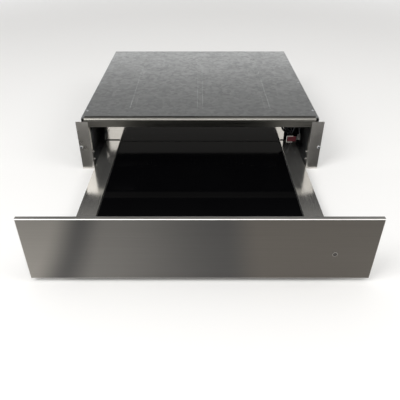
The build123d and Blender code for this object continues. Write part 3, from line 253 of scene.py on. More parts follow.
def galvanised_sheet(name, dark, bright, rough, metallic=0.85):
    """Zinc crystals of their own tones, with clouds over them; the dark ones are also rougher."""
    material, tree, shader = new_finish(name, bright, Metallic=metallic)
    place = object_place(tree)
    crystals = add_node(tree, "ShaderNodeTexVoronoi", {"Scale": 1 / SPANGLE}, {"Vector": place})
    crystal_tone = add_node(tree, "ShaderNodeSeparateColor", links={0: crystals.outputs["Color"]})
    cloud = add_node(tree, "ShaderNodeTexNoise", {"Scale": SHEET_CLOUDS, "Detail": 4.0}, {"Vector": place})
    mixed = add_node(tree, "ShaderNodeMath", {1: SPANGLE_SHARE}, {0: crystal_tone.outputs[0]},
                     operation="MULTIPLY")
    tone = add_node(tree, "ShaderNodeMath", {1: 1 - SPANGLE_SHARE}, operation="MULTIPLY_ADD",
                    links={0: cloud.outputs[0], 2: mixed.outputs[0]})
    tree.links.new(blend_tones(tree, tone.outputs[0], dark, bright), shader.inputs["Base Color"])
    tree.links.new(span(tree, tone.outputs[0], rough + 0.08, rough - 0.06), shader.inputs["Roughness"])
    return material


zinc_sheet = galvanised_sheet("galvanised_sheet", "#8f9090", "#b4b5b4", rough=0.42)
dress(zinc_sheet, "base_plate", "side_wall_left", "side_wall_right", "top_cover", "rear_wall",
      "rear_baffle", "runner_bracket_left", "runner_bracket_right", "air_duct", "base_pan", "front_liner",
      "front_gussets")


# ---------------------------------------------------------------- front flanges
# The two upright flanges and the rail's rivets are galvanised too, but skin passed: rolled flat and
# fine grained, with the satin grey that shows beside the drawer.
flange_sheet = galvanised_sheet("skin_passed_zinc", "#c8c5c0", "#d3d0cb", rough=0.3, metallic=0.94)
dress(flange_sheet, "flange_left", "flange_right", "rail_rivets")


# ---------------------------------------------------------------- rail, strips, rear wall and bracket
# Bright annealed stainless sheet: nearly a mirror, with faint lines along the rolling direction. The
# drawer's side strips and front strip, its rear wall, the housing's cross rail and the connector's
# bracket are folded from it. The cross rail's tones are painted much darker than the rest: painted shade.
ROLL_LINE = 0.0016            # rolling lines are finer; drawn this wide to show
LINES_ALONG_Y = (1 / ROLL_LINE, 6.0, 60.0)      # how often they repeat in a metre of each axis
LINES_ALONG_X = (6.0, 60.0, 1 / ROLL_LINE)


def mottle(tree, shader, low, high, scale, detail=3.0, stretch=(1.0, 1.0, 1.0)):
    """Cloudy tone between two hex colours, with so many clouds in a metre; returns the clouds."""
    clouds = add_node(tree, "ShaderNodeTexNoise", {"Scale": scale, "Detail": detail},
                      {"Vector": object_place(tree, stretch)})
    tree.links.new(blend_tones(tree, clouds.outputs[0], low, high), shader.inputs["Base Color"])
    return clouds.outputs[0]


def bright_stainless(name, tone_low, tone_high, rough, stretch, haze=0.0):
    """Rolling lines of two tones; haze is the share of the surface that doesn't act as bare metal."""
    material, tree, shader = new_finish(name, tone_high, Metallic=1.0 - haze)
    lines = mottle(tree, shader, tone_low, tone_high, 1.0, stretch=stretch)
    tree.links.new(span(tree, lines, rough - 0.04, rough + 0.05, from_low=0.3, from_high=0.7),
                   shader.inputs["Roughness"])
    return material


along_drawer = bright_stainless("bright_stainless_strip", "#e0ded9", "#edebe7",
                                rough=0.12, stretch=LINES_ALONG_Y, haze=0.06)
across_drawer = bright_stainless("bright_stainless_wall", "#d6d3ce", "#e4e1dc",
                                 rough=0.08, stretch=LINES_ALONG_X)
# Painted shade: the cross rail takes the same metal in much darker tones.
rail_painted_shade = bright_stainless("bright_stainless_rail", "#7b7974", "#87857f",
                              rough=0.3, stretch=LINES_ALONG_X)
dress(along_drawer, "deck_frame")
dress(across_drawer, "back_wall", "connector_bracket")
dress(rail_painted_shade, "top_rail")


# ---------------------------------------------------------------- zinc plated pieces
# Runners, ball cages, the thermostat's shaft and the overheat cut-out are drawn or pressed steel with
# bright zinc plating, a little blue, and rubbed along the travel.
RUB_MARKS = (500.0, 9.0, 500.0)     # 2 mm wide and 110 mm long: so many in a metre of each axis
RUNNER_PIECES = ("outer_runner", "mid_runner", "inner_runner", "outer_cage", "inner_cage")


def plated_zinc():
    """Pale bluish metal with long rub marks, where it is a little duller."""
    material, tree, shader = new_finish("bright_zinc_plating", "#c3c6c9", Metallic=1.0)
    rub = mottle(tree, shader, "#a3a6a9", "#cfd2d5", 1.0, detail=4.0, stretch=RUB_MARKS)
    tree.links.new(span(tree, rub, 0.2, 0.38), shader.inputs["Roughness"])
    return material


zinc_plating = plated_zinc()
dress(zinc_plating, *[f"{kind}_{side}" for side in ("left", "right") for kind in RUNNER_PIECES],
      "thermostat_shaft", "overheat_cutout")


# ---------------------------------------------------------------- screws
# Pan head screws with a cross recess hold the cover and the gussets, and two go through the flanges.
# They are cold headed from steel wire and plated bright.
RECESS_SHARE = 0.55           # recess across, to the head's diameter
ARM_SHARE = 0.13              # half an arm's width, to the head's radius
RECESS_TAPER = 0.55           # the recess narrows to this share at its bottom
RECESS_DEPTHS = (0.25, 1.5)   # bottom and top of what cuts it, to the head's rise
HEAD_FLAT = 0.45              # share of the head's rise that is its upright edge
HEAD_STEPS = 6                # in the curve of the crown
HEAD_RISE = 0.0018
SMALL_SCREW = (0.003, HEAD_RISE, 0.0015, 0.006)      # head's radius and rise, shank's radius and length
FIXING_SCREW = (0.004, 0.0022, 0.002, 0.012)
SCREW_WEAR = 900.0            # marks of about 1.1 mm: so many in a metre


def bpy_object(name, data):
    """Object in the scene, at the origin."""
    piece = bpy.data.objects.new(name, data)
    bpy.context.scene.collection.objects.link(piece)
    return piece


def new_piece(name, mesh, material=None):
    """Object of a mesh, with one finish where it is given."""
    piece = bpy_object(name, mesh)
    if material:
        mesh.materials.clear()
        mesh.materials.append(material)
    return piece


def turned(name, profile, segments=32):
    """Closed body turned round Z from (radius, height) points; the first and last lie on the axis."""
    body = bmesh.new()
    rings = []
    for radius, height in profile:
        if radius == 0:
            rings.append([body.verts.new((0, 0, height))])
        else:
            rings.append([
                body.verts.new((radius * math.cos(turn), radius * math.sin(turn), height))
                for turn in (2 * math.pi * index / segments for index in range(segments))
            ])
    for above, below in zip(rings, rings[1:]):
        for index in range(segments):
            after = (index + 1) % segments
            corners = [above[index % len(above)], above[after % len(above)],
                       below[after % len(below)], below[index % len(below)]]
            body.faces.new(list(dict.fromkeys(corners)))
    bmesh.ops.recalc_face_normals(body, faces=body.faces)
    mesh = bpy.data.meshes.new(name)
    body.to_mesh(mesh)
    body.free()
    return mesh


def final_mesh(piece):
    """The piece with its modifiers as a plain mesh; the piece itself is deleted."""
    evaluated = piece.evaluated_get(bpy.context.evaluated_depsgraph_get())
    mesh = bpy.data.meshes.new_from_object(evaluated)
    mesh.name = piece.name
    bpy.data.objects.remove(piece)
    return mesh


def cross_screw(head_radius, rise, shank_radius, shank_length):
    """One screw standing on z = 0 with its shank pointing down."""
    crown = [(head_radius * math.sin(turn), rise * (HEAD_FLAT + (1 - HEAD_FLAT) * math.cos(turn)))
             for turn in (math.pi / 2 * step / HEAD_STEPS for step in range(HEAD_STEPS + 1))]
    crown[0] = (0, rise)
    shank = [(head_radius, 0), (shank_radius, 0), (shank_radius, -shank_length), (0, -shank_length)]
    screw = new_piece("screw", turned("screw", crown + shank))
    arm = head_radius * RECESS_SHARE
    half = head_radius * ARM_SHARE
    cutter = bmesh.new()
    for size in ((arm, half), (half, arm)):
        made = bmesh.ops.create_cube(cutter, size=2.0)["verts"]
        for corner in made:
            above = corner.co.z > 0
            narrow = 1.0 if above else RECESS_TAPER
            corner.co = (corner.co.x * size[0] * narrow, corner.co.y * size[1] * narrow,
                         rise * RECESS_DEPTHS[above])
    cutter_mesh = bpy.data.meshes.new("recess")
    cutter.to_mesh(cutter_mesh)
    cutter.free()
    recess = new_piece("recess", cutter_mesh)
    cut = screw.modifiers.new("recess", "BOOLEAN")
    cut.operation = "DIFFERENCE"
    cut.object = recess
    cut.use_self = True
    mesh = final_mesh(screw)
    bpy.data.objects.remove(recess)
    return mesh


def geometry_tree(name, inputs):
    """Tree that puts out a geometry, with inputs of the kinds given; returns it and its input node."""
    tree = bpy.data.node_groups.new(name, "GeometryNodeTree")
    tree.interface.new_socket("Geometry", in_out="OUTPUT", socket_type="NodeSocketGeometry")
    for label, kind in inputs.items():
        tree.interface.new_socket(label, in_out="INPUT", socket_type="NodeSocket" + kind)
    return tree, add_node(tree, "NodeGroupInput")


def close_tree(tree, geometry, finish):
    """Turn the copies into real geometry, give it its finish and put it out."""
    real = add_node(tree, "GeometryNodeRealizeInstances", links={"Geometry": geometry})
    coated = add_node(tree, "GeometryNodeSetMaterial",
                      links={"Geometry": real.outputs[0], "Material": finish})
    add_node(tree, "NodeGroupOutput", links={"Geometry": coated.outputs[0]})
    return tree


def grow(piece, tree, inputs):
    """Put a geometry tree on an object, with its inputs by name."""
    modifier = piece.modifiers.new(tree.name, "NODES")
    modifier.node_group = tree
    identifiers = {item.name: item.identifier for item in tree.interface.items_tree
                   if item.item_type == "SOCKET" and item.in_out == "INPUT"}
    for label, value in inputs.items():
        modifier[identifiers[label]] = value


def scatter_tree():
    """Copies of one object on points, turned to face one way and each at its own angle."""
    tree, given = geometry_tree("fasteners", {
        "Places": "Geometry", "Fastener": "Object", "Facing": "Rotation", "Seed": "Int",
        "Finish": "Material"})
    shape = add_node(tree, "GeometryNodeObjectInfo", links={"Object": given.outputs["Fastener"]})
    angle = add_node(tree, "FunctionNodeRandomValue", data_type="FLOAT_VECTOR",
                     links={"Seed": given.outputs["Seed"]})
    angle.inputs[0].default_value = (0, 0, 0)
    angle.inputs[1].default_value = (0, 0, math.pi / 2)
    own_turn = add_node(tree, "FunctionNodeEulerToRotation", links={0: angle.outputs[0]})
    facing = add_node(tree, "FunctionNodeRotateRotation", rotation_space="LOCAL",
                      links={0: given.outputs["Facing"], 1: own_turn.outputs[0]})
    copies = add_node(tree, "GeometryNodeInstanceOnPoints", links={
        "Points": given.outputs["Places"], "Instance": shape.outputs["Geometry"],
        "Rotation": facing.outputs[0]})
    return close_tree(tree, copies.outputs[0], given.outputs["Finish"])


fasteners = scatter_tree()


def fasten(name, body, shape_mesh, places, facing, finish, seed):
    """Fasteners of one shape on one body, as one mesh."""
    point_mesh = bpy.data.meshes.new(name)
    point_mesh.from_pydata([tuple(place) for place in places], [], [])
    holder = new_piece(name, point_mesh)
    shape = new_piece(name + "_shape", shape_mesh)
    grow(holder, fasteners, {"Fastener": shape, "Facing": Euler(facing), "Seed": seed, "Finish": finish})
    mesh = final_mesh(holder)
    bpy.data.objects.remove(shape)
    piece = new_piece(name, mesh)
    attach(piece, body)
    return piece


def solids_of(node):
    """Boxes of the separate solids in a node, found from its joined triangles."""
    joined = bmesh.new()
    joined.from_mesh(nodes[node].data)
    bmesh.ops.remove_doubles(joined, verts=joined.verts, dist=1e-6)
    left = set(joined.verts)
    boxes = []
    while left:
        group, edge_of = set(), [left.pop()]
        while edge_of:
            corner = edge_of.pop()
            group.add(corner)
            for edge in corner.link_edges:
                other = edge.other_vert(corner)
                if other in left:
                    left.discard(other)
                    edge_of.append(other)
        low = Vector([min(v.co[axis] for v in group) for axis in range(3)])
        high = Vector([max(v.co[axis] for v in group) for axis in range(3)])
        boxes.append((low, high))
    joined.free()
    return sorted(boxes, key=lambda box: tuple(round(c, 4) for c in box[0]))


def screw_steel():
    """Bright metal with worn spots that scatter the light more."""
    material, tree, shader = new_finish("plated_screw_steel", "#c9cbcd", Metallic=1.0, Roughness=0.28)
    wear = add_node(tree, "ShaderNodeTexNoise", {"Scale": SCREW_WEAR, "Detail": 2.0},
                    {"Vector": object_place(tree)})
    tree.links.new(span(tree, wear.outputs[0], 0.2, 0.4), shader.inputs["Roughness"])
    return material


FACING_UP, FACING_BACK, FACING_FRONT = (0, 0, 0), (-math.pi / 2, 0, 0), (math.pi / 2, 0, 0)
screw_metal = screw_steel()
small_screw = cross_screw(*SMALL_SCREW)
cover_seats = [((low.x + high.x) / 2, (low.y + high.y) / 2, high.z - HEAD_RISE)
               for low, high in solids_of("housing_screws")]
cover_screws = fasten("cover_screws", "housing", small_screw.copy(), cover_seats, FACING_UP,
                      screw_metal, seed=3)
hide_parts("housing_screws")
gusset_seats = [((low.x + high.x) / 2, high.y - HEAD_RISE, (low.z + high.z) / 2)
                for low, high in solids_of("drawer_screws")]
gusset_screws = fasten("gusset_screws", "drawer", small_screw, gusset_seats, FACING_BACK,
                       screw_metal, seed=5)
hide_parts("drawer_screws")

REAR_SCREWS = (-0.15, 0.0, 0.15)         # along the cover's rear edge
REAR_EDGE = 0.006
RAIL_RISE = 0.001                        # of the cross rail above the cover
cover_top, rear_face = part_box("top_rail")[1].z - RAIL_RISE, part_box("rear_wall")[1].y
fasten("cover_rear_screws", "housing", small_screw.copy(),
       [(x, rear_face - REAR_EDGE, cover_top) for x in REAR_SCREWS], FACING_UP, screw_metal, seed=11)

FIXING_HEIGHT, FIXING_EDGE = 0.0595, 0.0046      # above the floor, from the flange's outer edge
flange_low, flange_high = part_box("flange_right")
fixing_x = flange_high.x - FIXING_EDGE
fasten("fixing_screws", "housing", cross_screw(*FIXING_SCREW),
       [(side * fixing_x, flange_low.y, FIXING_HEIGHT) for side in (-1, 1)], FACING_FRONT,
       screw_metal, seed=7)


# ---------------------------------------------------------------- moulded pieces
# Latch, terminal box, gland, clips, fan wheel, thermostat, control case, knob and button are moulded
# in black plastic with a fine spark eroded grain. The lamp holder and terminal block are white nylon,
# the guide buttons nylon in a grey tone that is painted shade, and the drawer's plug is dark red.
GRAIN, GRAIN_DEPTH = 0.0009, 0.00006      # the real grain is 0.2 mm; drawn this coarse to show
MOULD_CLOUDS = 25.0                       # clouds 40 mm across: so many in a metre


def relief(tree, shader, height, depth):
    """Bump of a depth in metres."""
    bump = add_node(tree, "ShaderNodeBump", {"Strength": 1.0, "Distance": depth}, {"Height": height})
    tree.links.new(bump.outputs[0], shader.inputs["Normal"])


def moulded(name, colour, shade, rough):
    """Plastic of nearly one tone, with the mould's grain."""
    material, tree, shader = new_finish(name, colour, Roughness=rough)
    clouds = mottle(tree, shader, shade, colour, MOULD_CLOUDS)
    tree.links.new(span(tree, clouds, rough - 0.08, rough + 0.08), shader.inputs["Roughness"])
    grain = add_node(tree, "ShaderNodeTexNoise", {"Scale": 1 / GRAIN, "Detail": 2.0},
                     {"Vector": object_place(tree)})
    relief(tree, shader, grain.outputs[0], GRAIN_DEPTH)
    return material


black_moulding = moulded("black_polyamide", "#1f2021", "#161718", rough=0.48)
white_nylon = moulded("white_nylon", "#e4e2dc", "#d8d5cd", rough=0.4)
# Painted shade: the guide buttons sit in the housing's mouth, and their grey tone stands for its shade.
grey_nylon = moulded("grey_nylon", "#8b8984", "#7b7974", rough=0.5)
red_moulding = moulded("dark_red_polyester", "#8c3340", "#74262f", rough=0.42)
dress(black_moulding, "latch_body", "latch_plunger", "terminal_box", "cable_gland", "cable_clips",
      "fan_impeller", "thermostat", "control_case", "temperature_knob", "power_button")
dress(white_nylon, "status_lamp", "terminal_block")
dress(grey_nylon, "guide_buttons")
dress(red_moulding, "drawer_connector")
for plug_piece in ("drawer_connector", "connector_bracket"):
    nodes[plug_piece].visible_glossy = False      # the strip before the plug shows no image of it


# ---------------------------------------------------------------- latch spring
# A zinc plated coil behind the plunger's collar, wound anew in its node's box, because it shortens
# towards the back of its chamber when the plunger is pressed.
SPRING_WIRE = 0.0005          # radius
SPRING_TURNS = 7.0
SPRING_POINTS = 28            # in each turn
WIRE_SIDES = 10


def coil_tree():
    """Round wire wound up along Z from the origin."""
    tree, given = geometry_tree("wound_coil", {
        "Turns": "Float", "Radius": "Float", "Length": "Float", "Wire": "Float", "Finish": "Material"})
    turns = add_node(tree, "GeometryNodeCurveSpiral", {"Resolution": SPRING_POINTS}, {
        "Rotations": given.outputs["Turns"], "Start Radius": given.outputs["Radius"],
        "End Radius": given.outputs["Radius"], "Height": given.outputs["Length"]})
    ring = add_node(tree, "GeometryNodeCurvePrimitiveCircle", {"Resolution": WIRE_SIDES},
                    {"Radius": given.outputs["Wire"]})
    wire = add_node(tree, "GeometryNodeCurveToMesh", {"Fill Caps": True},
                    {"Curve": turns.outputs[0], "Profile Curve": ring.outputs[0]})
    return close_tree(tree, wire.outputs[0], given.outputs["Finish"])


spring_low, spring_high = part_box("latch_spring")
spring_mid = (spring_low + spring_high) / 2
spring_length = spring_high.y - spring_low.y
spring_base = bpy_object("latch_coil", bpy.data.meshes.new("latch_coil"))
grow(spring_base, coil_tree(), {
    "Turns": SPRING_TURNS, "Radius": (spring_high.x - spring_low.x) / 2 - SPRING_WIRE,
    "Length": spring_length - 2 * SPRING_WIRE, "Wire": SPRING_WIRE, "Finish": zinc_plating})
spring_mesh = final_mesh(spring_base)
spring_mesh.transform(Matrix.Translation((spring_mid.x, spring_low.y + SPRING_WIRE, spring_mid.z))
                      @ Matrix.Rotation(-math.pi / 2, 4, "X"))
for face in spring_mesh.polygons:
    face.use_smooth = True
latch_coil = new_piece("latch_coil", spring_mesh)
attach(latch_coil, "housing")
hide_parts("latch_spring")
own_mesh(latch_coil)


# ---------------------------------------------------------------- control markings
# The scale round the knob is screen printed on the case, with a bar at every thirty degrees of its
# travel. A bar on the knob's grip ridge points to it, and a dot marks the on and off button.
SCALE_STEPS = 10
STEP_ANGLE = -math.radians(30)            # the knob turns right, 270 degrees in all
SCALE_START = math.pi                     # the grip ridge points left when the knob is off
SCALE_RADIUS = 0.0174
SCALE_BAR = (0.0022, 0.0007, 0.00016)     # ink is thinner; drawn this thick to stand clear of the case
POINTER = (0.0062, 0.0128)                # from the knob's axis to the bar's ends
DOT_RADIUS = 0.0014
INK_GRAIN = 700.0                         # of about 1.4 mm: so many in a metre


def scale_tree():
    """Bars set round a circle, each pointing outwards."""
    tree, given = geometry_tree("printed_scale", {
        "Steps": "Int", "Start": "Float", "Step angle": "Float", "Radius": "Float", "Bar": "Vector",
        "Finish": "Material"})
    index = add_node(tree, "GeometryNodeInputIndex")
    angle = add_node(tree, "ShaderNodeMath", operation="MULTIPLY_ADD", links={
        0: index.outputs[0], 1: given.outputs["Step angle"], 2: given.outputs["Start"]})
    along = add_node(tree, "ShaderNodeMath", links={0: angle.outputs[0]}, operation="COSINE")
    aside = add_node(tree, "ShaderNodeMath", links={0: angle.outputs[0]}, operation="SINE")
    outwards = add_node(tree, "ShaderNodeCombineXYZ", links={"X": along.outputs[0], "Y": aside.outputs[0]})
    place = add_node(tree, "ShaderNodeVectorMath", operation="SCALE",
                     links={0: outwards.outputs[0], "Scale": given.outputs["Radius"]})
    points = add_node(tree, "GeometryNodePoints",
                      links={"Count": given.outputs["Steps"], "Position": place.outputs[0]})
    bar = add_node(tree, "GeometryNodeMeshCube", links={"Size": given.outputs["Bar"]})
    turn = add_node(tree, "ShaderNodeCombineXYZ", links={"Z": angle.outputs[0]})
    facing = add_node(tree, "FunctionNodeEulerToRotation", links={0: turn.outputs[0]})
    bars = add_node(tree, "GeometryNodeInstanceOnPoints", links={
        "Points": points.outputs[0], "Instance": bar.outputs["Mesh"], "Rotation": facing.outputs[0]})
    return close_tree(tree, bars.outputs[0], given.outputs["Finish"])


def printed(name, mesh, place, body):
    """Ink at a place on a body."""
    for corner in mesh.vertices:
        corner.co = corner.co + Vector(place)
    piece = new_piece(name, mesh, white_ink)
    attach(piece, body)
    return piece


white_ink, ink_tree, ink_shader = new_finish("white_screen_print", "#dedcd6", Roughness=0.6)
mottle(ink_tree, ink_shader, "#c9c7c1", "#e8e6e1", INK_GRAIN)

knob_low, knob_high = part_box("temperature_knob")
knob_axis = (knob_low + knob_high) / 2
ink_base = bpy_object("scale_base", bpy.data.meshes.new("scale_base"))
grow(ink_base, scale_tree(), {
    "Steps": SCALE_STEPS, "Start": SCALE_START, "Step angle": STEP_ANGLE, "Radius": SCALE_RADIUS,
    "Bar": SCALE_BAR, "Finish": white_ink})
case_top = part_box("control_case")[1].z
printed("knob_scale", final_mesh(ink_base), (knob_axis.x, knob_axis.y, case_top), "drawer")

pointer_mesh = bpy.data.meshes.new("knob_pointer")
pointer_shape = bmesh.new()
bmesh.ops.create_cube(pointer_shape, size=1.0)
bmesh.ops.scale(pointer_shape, vec=(POINTER[1] - POINTER[0], *SCALE_BAR[1:]), verts=pointer_shape.verts)
pointer_shape.to_mesh(pointer_mesh)
pointer_shape.free()
printed("knob_pointer", pointer_mesh, (knob_axis.x - sum(POINTER) / 2, knob_axis.y, knob_high.z), "knob")

button_low, button_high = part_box("power_button")
half_ink = SCALE_BAR[2] / 2
dot_profile = [(0, half_ink), (DOT_RADIUS, half_ink), (DOT_RADIUS, -half_ink), (0, -half_ink)]
dot = turned("button_dot", dot_profile)
printed("button_dot", dot, ((button_low.x + button_high.x) / 2, knob_axis.y, button_high.z), "button")


# ---------------------------------------------------------------- fan motor
# A shaded pole motor: a stack of thin steel plates, varnished dark. The edges of the plates show as
# fine lines round the stack.
PLATE = 0.001                 # plates are 0.5 mm; drawn twice as thick to show
PLATE_EDGE = 0.0001           # how far the edges stand out
BANDS_A_UNIT = 20             # a wave texture of scale 1 has so many bands in a metre


def plate_stack():
    """Dark varnish over fine bands, one for each plate."""
    material, tree, shader = new_finish("varnished_steel_plates", "#3b3c3e", Metallic=0.8, Roughness=0.45)
    lines = add_node(tree, "ShaderNodeTexWave", {"Scale": 1 / PLATE / BANDS_A_UNIT, "Distortion": 0.3},
                     {"Vector": object_place(tree)}, wave_type="BANDS", bands_direction="Y")
    edges = lines.outputs["Fac"]
    tree.links.new(blend_tones(tree, edges, "#28292b", "#55575a"), shader.inputs["Base Color"])
    relief(tree, shader, edges, PLATE_EDGE)
    return material


dress(plate_stack(), "fan_motor")


# ---------------------------------------------------------------- leads behind the plug
# The drawer's cable splits behind the plug. A thin signal lead and an earth lead in grey sleeves go to
# the plug and its bracket; two black heater leads pass over the rear wall's end and down behind it.
GREY_LEAD_RADIUS = 0.0009
HEATER_LEAD_RADIUS = 0.0024
LEAD_ROUNDNESS = 5            # the curve's bevel resolution
ROUTE_STEPS = 16              # between two points of a route
SLEEVE_CLOUDS = 200.0         # clouds of 5 mm: so many in a metre
SHEATH_CLOUDS = 90.0          # clouds of about 11 mm: so many in a metre
HEATER_ROUTE = [
    (0.2405, -0.1562, 0.0385), (0.2345, -0.158, 0.046), (0.2265, -0.1625, 0.0505),
    (0.2185, -0.1667, 0.0555), (0.2130, -0.1672, 0.064), (0.2128, -0.1667, 0.082),
    (0.214, -0.1652, 0.0975), (0.216, -0.1605, 0.1035), (0.218, -0.1552, 0.0985),
    (0.2175, -0.1548, 0.084), (0.2165, -0.1548, 0.060), (0.215, -0.1552, 0.038),
    (0.215, -0.161, 0.031),
]
RETURN_ROUTE = [
    (0.2415, -0.1562, 0.040), (0.2385, -0.158, 0.0495), (0.2305, -0.1625, 0.0545),
    (0.2225, -0.1667, 0.060), (0.2182, -0.1674, 0.069), (0.218, -0.1669, 0.084),
    (0.2192, -0.1652, 0.0975), (0.2215, -0.1605, 0.1035), (0.2235, -0.1552, 0.0985),
    (0.2235, -0.1548, 0.084), (0.2215, -0.1548, 0.060), (0.209, -0.1552, 0.036),
    (0.2085, -0.161, 0.031),
]
SIGNAL_ROUTE = [
    (0.2315, -0.1625, 0.041), (0.2315, -0.157, 0.055), (0.2335, -0.1535, 0.074), (0.2385, -0.1535, 0.068),
    (0.2405, -0.1545, 0.050), (0.241, -0.156, 0.0385),
]
EARTH_ROUTE = [
    (0.262, -0.1625, 0.040), (0.262, -0.156, 0.060), (0.2605, -0.1535, 0.076), (0.2545, -0.1535, 0.072),
    (0.2455, -0.1545, 0.050), (0.2425, -0.156, 0.0385),
]


def lead(name, route, radius, material):
    """Smooth round tube along a route, closed at its ends, as a mesh."""
    line = bpy.data.curves.new(name, "CURVE")
    line.dimensions = "3D"
    line.bevel_depth = radius
    line.bevel_resolution = LEAD_ROUNDNESS
    line.resolution_u = ROUTE_STEPS
    line.use_fill_caps = True
    spline = line.splines.new("NURBS")
    spline.points.add(len(route) - 1)
    for point, place in zip(spline.points, route):
        point.co = (*place, 1.0)
    spline.order_u = 3
    spline.use_endpoint_u = True
    piece = new_piece(name, final_mesh(bpy_object(name, line)), material)
    for face in piece.data.polygons:
        face.use_smooth = True
    return piece


def sheathing():
    """Black rubber with a soft sheen that changes from patch to patch."""
    material, tree, shader = new_finish("black_silicone_sheath", "#1c1d1f", Roughness=0.42)
    clouds = mottle(tree, shader, "#141517", "#2c2d30", SHEATH_CLOUDS, detail=4.0)
    tree.links.new(span(tree, clouds, 0.36, 0.55), shader.inputs["Roughness"])
    return material


grey_sleeve, sleeve_tree, sleeve_shader = new_finish("grey_wire_sleeve", "#85878a", Roughness=0.45)
mottle(sleeve_tree, sleeve_shader, "#727477", "#95979a", SLEEVE_CLOUDS)
for lead_name, route in (("signal_lead", SIGNAL_ROUTE), ("earth_lead", EARTH_ROUTE)):
    grey_lead = lead(lead_name, route, GREY_LEAD_RADIUS, grey_sleeve)
    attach(grey_lead, "drawer")

cable_sheath = sheathing()
for lead_name, route in (("heater_lead", HEATER_ROUTE), ("return_lead", RETURN_ROUTE)):
    heater_lead = lead(lead_name, route, HEATER_LEAD_RADIUS, cable_sheath)
    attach(heater_lead, "drawer")


# ---------------------------------------------------------------- cables
# Two round cables in the same sheathing. One runs along the housing's wall to the terminal box, held by
# clips; the other goes from the first clip to the plug at the drawer's rear corner.
CABLE_RADIUS = 0.0035
HOUSING_ROUTE = [
    (0.266, 0.0275, 0.009), (0.266, 0.07625, 0.009), (0.2665, 0.125, 0.0093), (0.2662, 0.1679, 0.009),
    (0.2666, 0.2085, 0.0092), (0.262, 0.2315, 0.009), (0.248, 0.244, 0.0092), (0.235, 0.248, 0.009),
    (0.223, 0.248, 0.009),
]
DRAWER_ROUTE = [
    (0.24125, -0.1635, 0.035), (0.24125, -0.1368, 0.035), (0.254, -0.1043, 0.030), (0.263, -0.068, 0.020),
    (0.267, -0.0336, 0.0115), (0.266, -0.0012, 0.009), (0.266, 0.0275, 0.009),
]

wall_lead = lead("wall_lead", HOUSING_ROUTE, CABLE_RADIUS, cable_sheath)
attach(wall_lead, "housing")
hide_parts("housing_harness")
drawer_lead = lead("drawer_lead", DRAWER_ROUTE, CABLE_RADIUS, cable_sheath)
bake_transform(drawer_lead)
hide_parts("drawer_harness")


# ---------------------------------------------------------------- brushed front
# The front is a folded shell of stainless sheet, brushed from side to side. Its colour holds painted
# reflections: soft upright bands, darker and lighter, a lower edge that grows lighter and lighter flat
# faces where it is bent back, with a painted highlight along its rounded edges.
BRUSH_LINE = 0.0011           # brush lines are 0.1 mm; drawn this wide to show
BRUSH_DEPTH = 0.00002
ALONG_BRUSH = 7.0             # how often the lines change in a metre of their length
REFLECTION_FAN = 1.6                # painted reflection bands spread apart downwards, per metre of height
FOOT_HIGHLIGHT_GAIN = (1.5, 1.15)      # painted highlight: the colour grows this much lighter at the lower edge, at the left and right ends
FOOT_HIGHLIGHT_DROP = 0.13              # how far below the upper edge the painted highlight reaches full strength
END_EDGE_HIGHLIGHT = 0.6                # the painted highlight is weaker on the upright edges than on the long ones
HIGHLIGHT_LEAN = (0.05, 0.4)         # how far a face leans back where the painted edge highlight starts and is full
FLAT_FACE_LEAN = (0.93, 0.995)        # likewise for the painted reflection on the flat faces that are bent back all the way
# Tones of the painted reflection bands.
PALE_REFLECTION, MIDDLE_REFLECTION, DARK_REFLECTION, WARM_REFLECTION = "#827f7a", "#6c6a67", "#525150", "#635f5a"
BANDS = [                     # painted reflection bands: share of the width from the left end, tone
    (0.0, PALE_REFLECTION), (0.1, PALE_REFLECTION), (0.182, DARK_REFLECTION), (0.25, MIDDLE_REFLECTION), (0.565, DARK_REFLECTION),
    (0.66, WARM_REFLECTION), (1.0, WARM_REFLECTION),
]


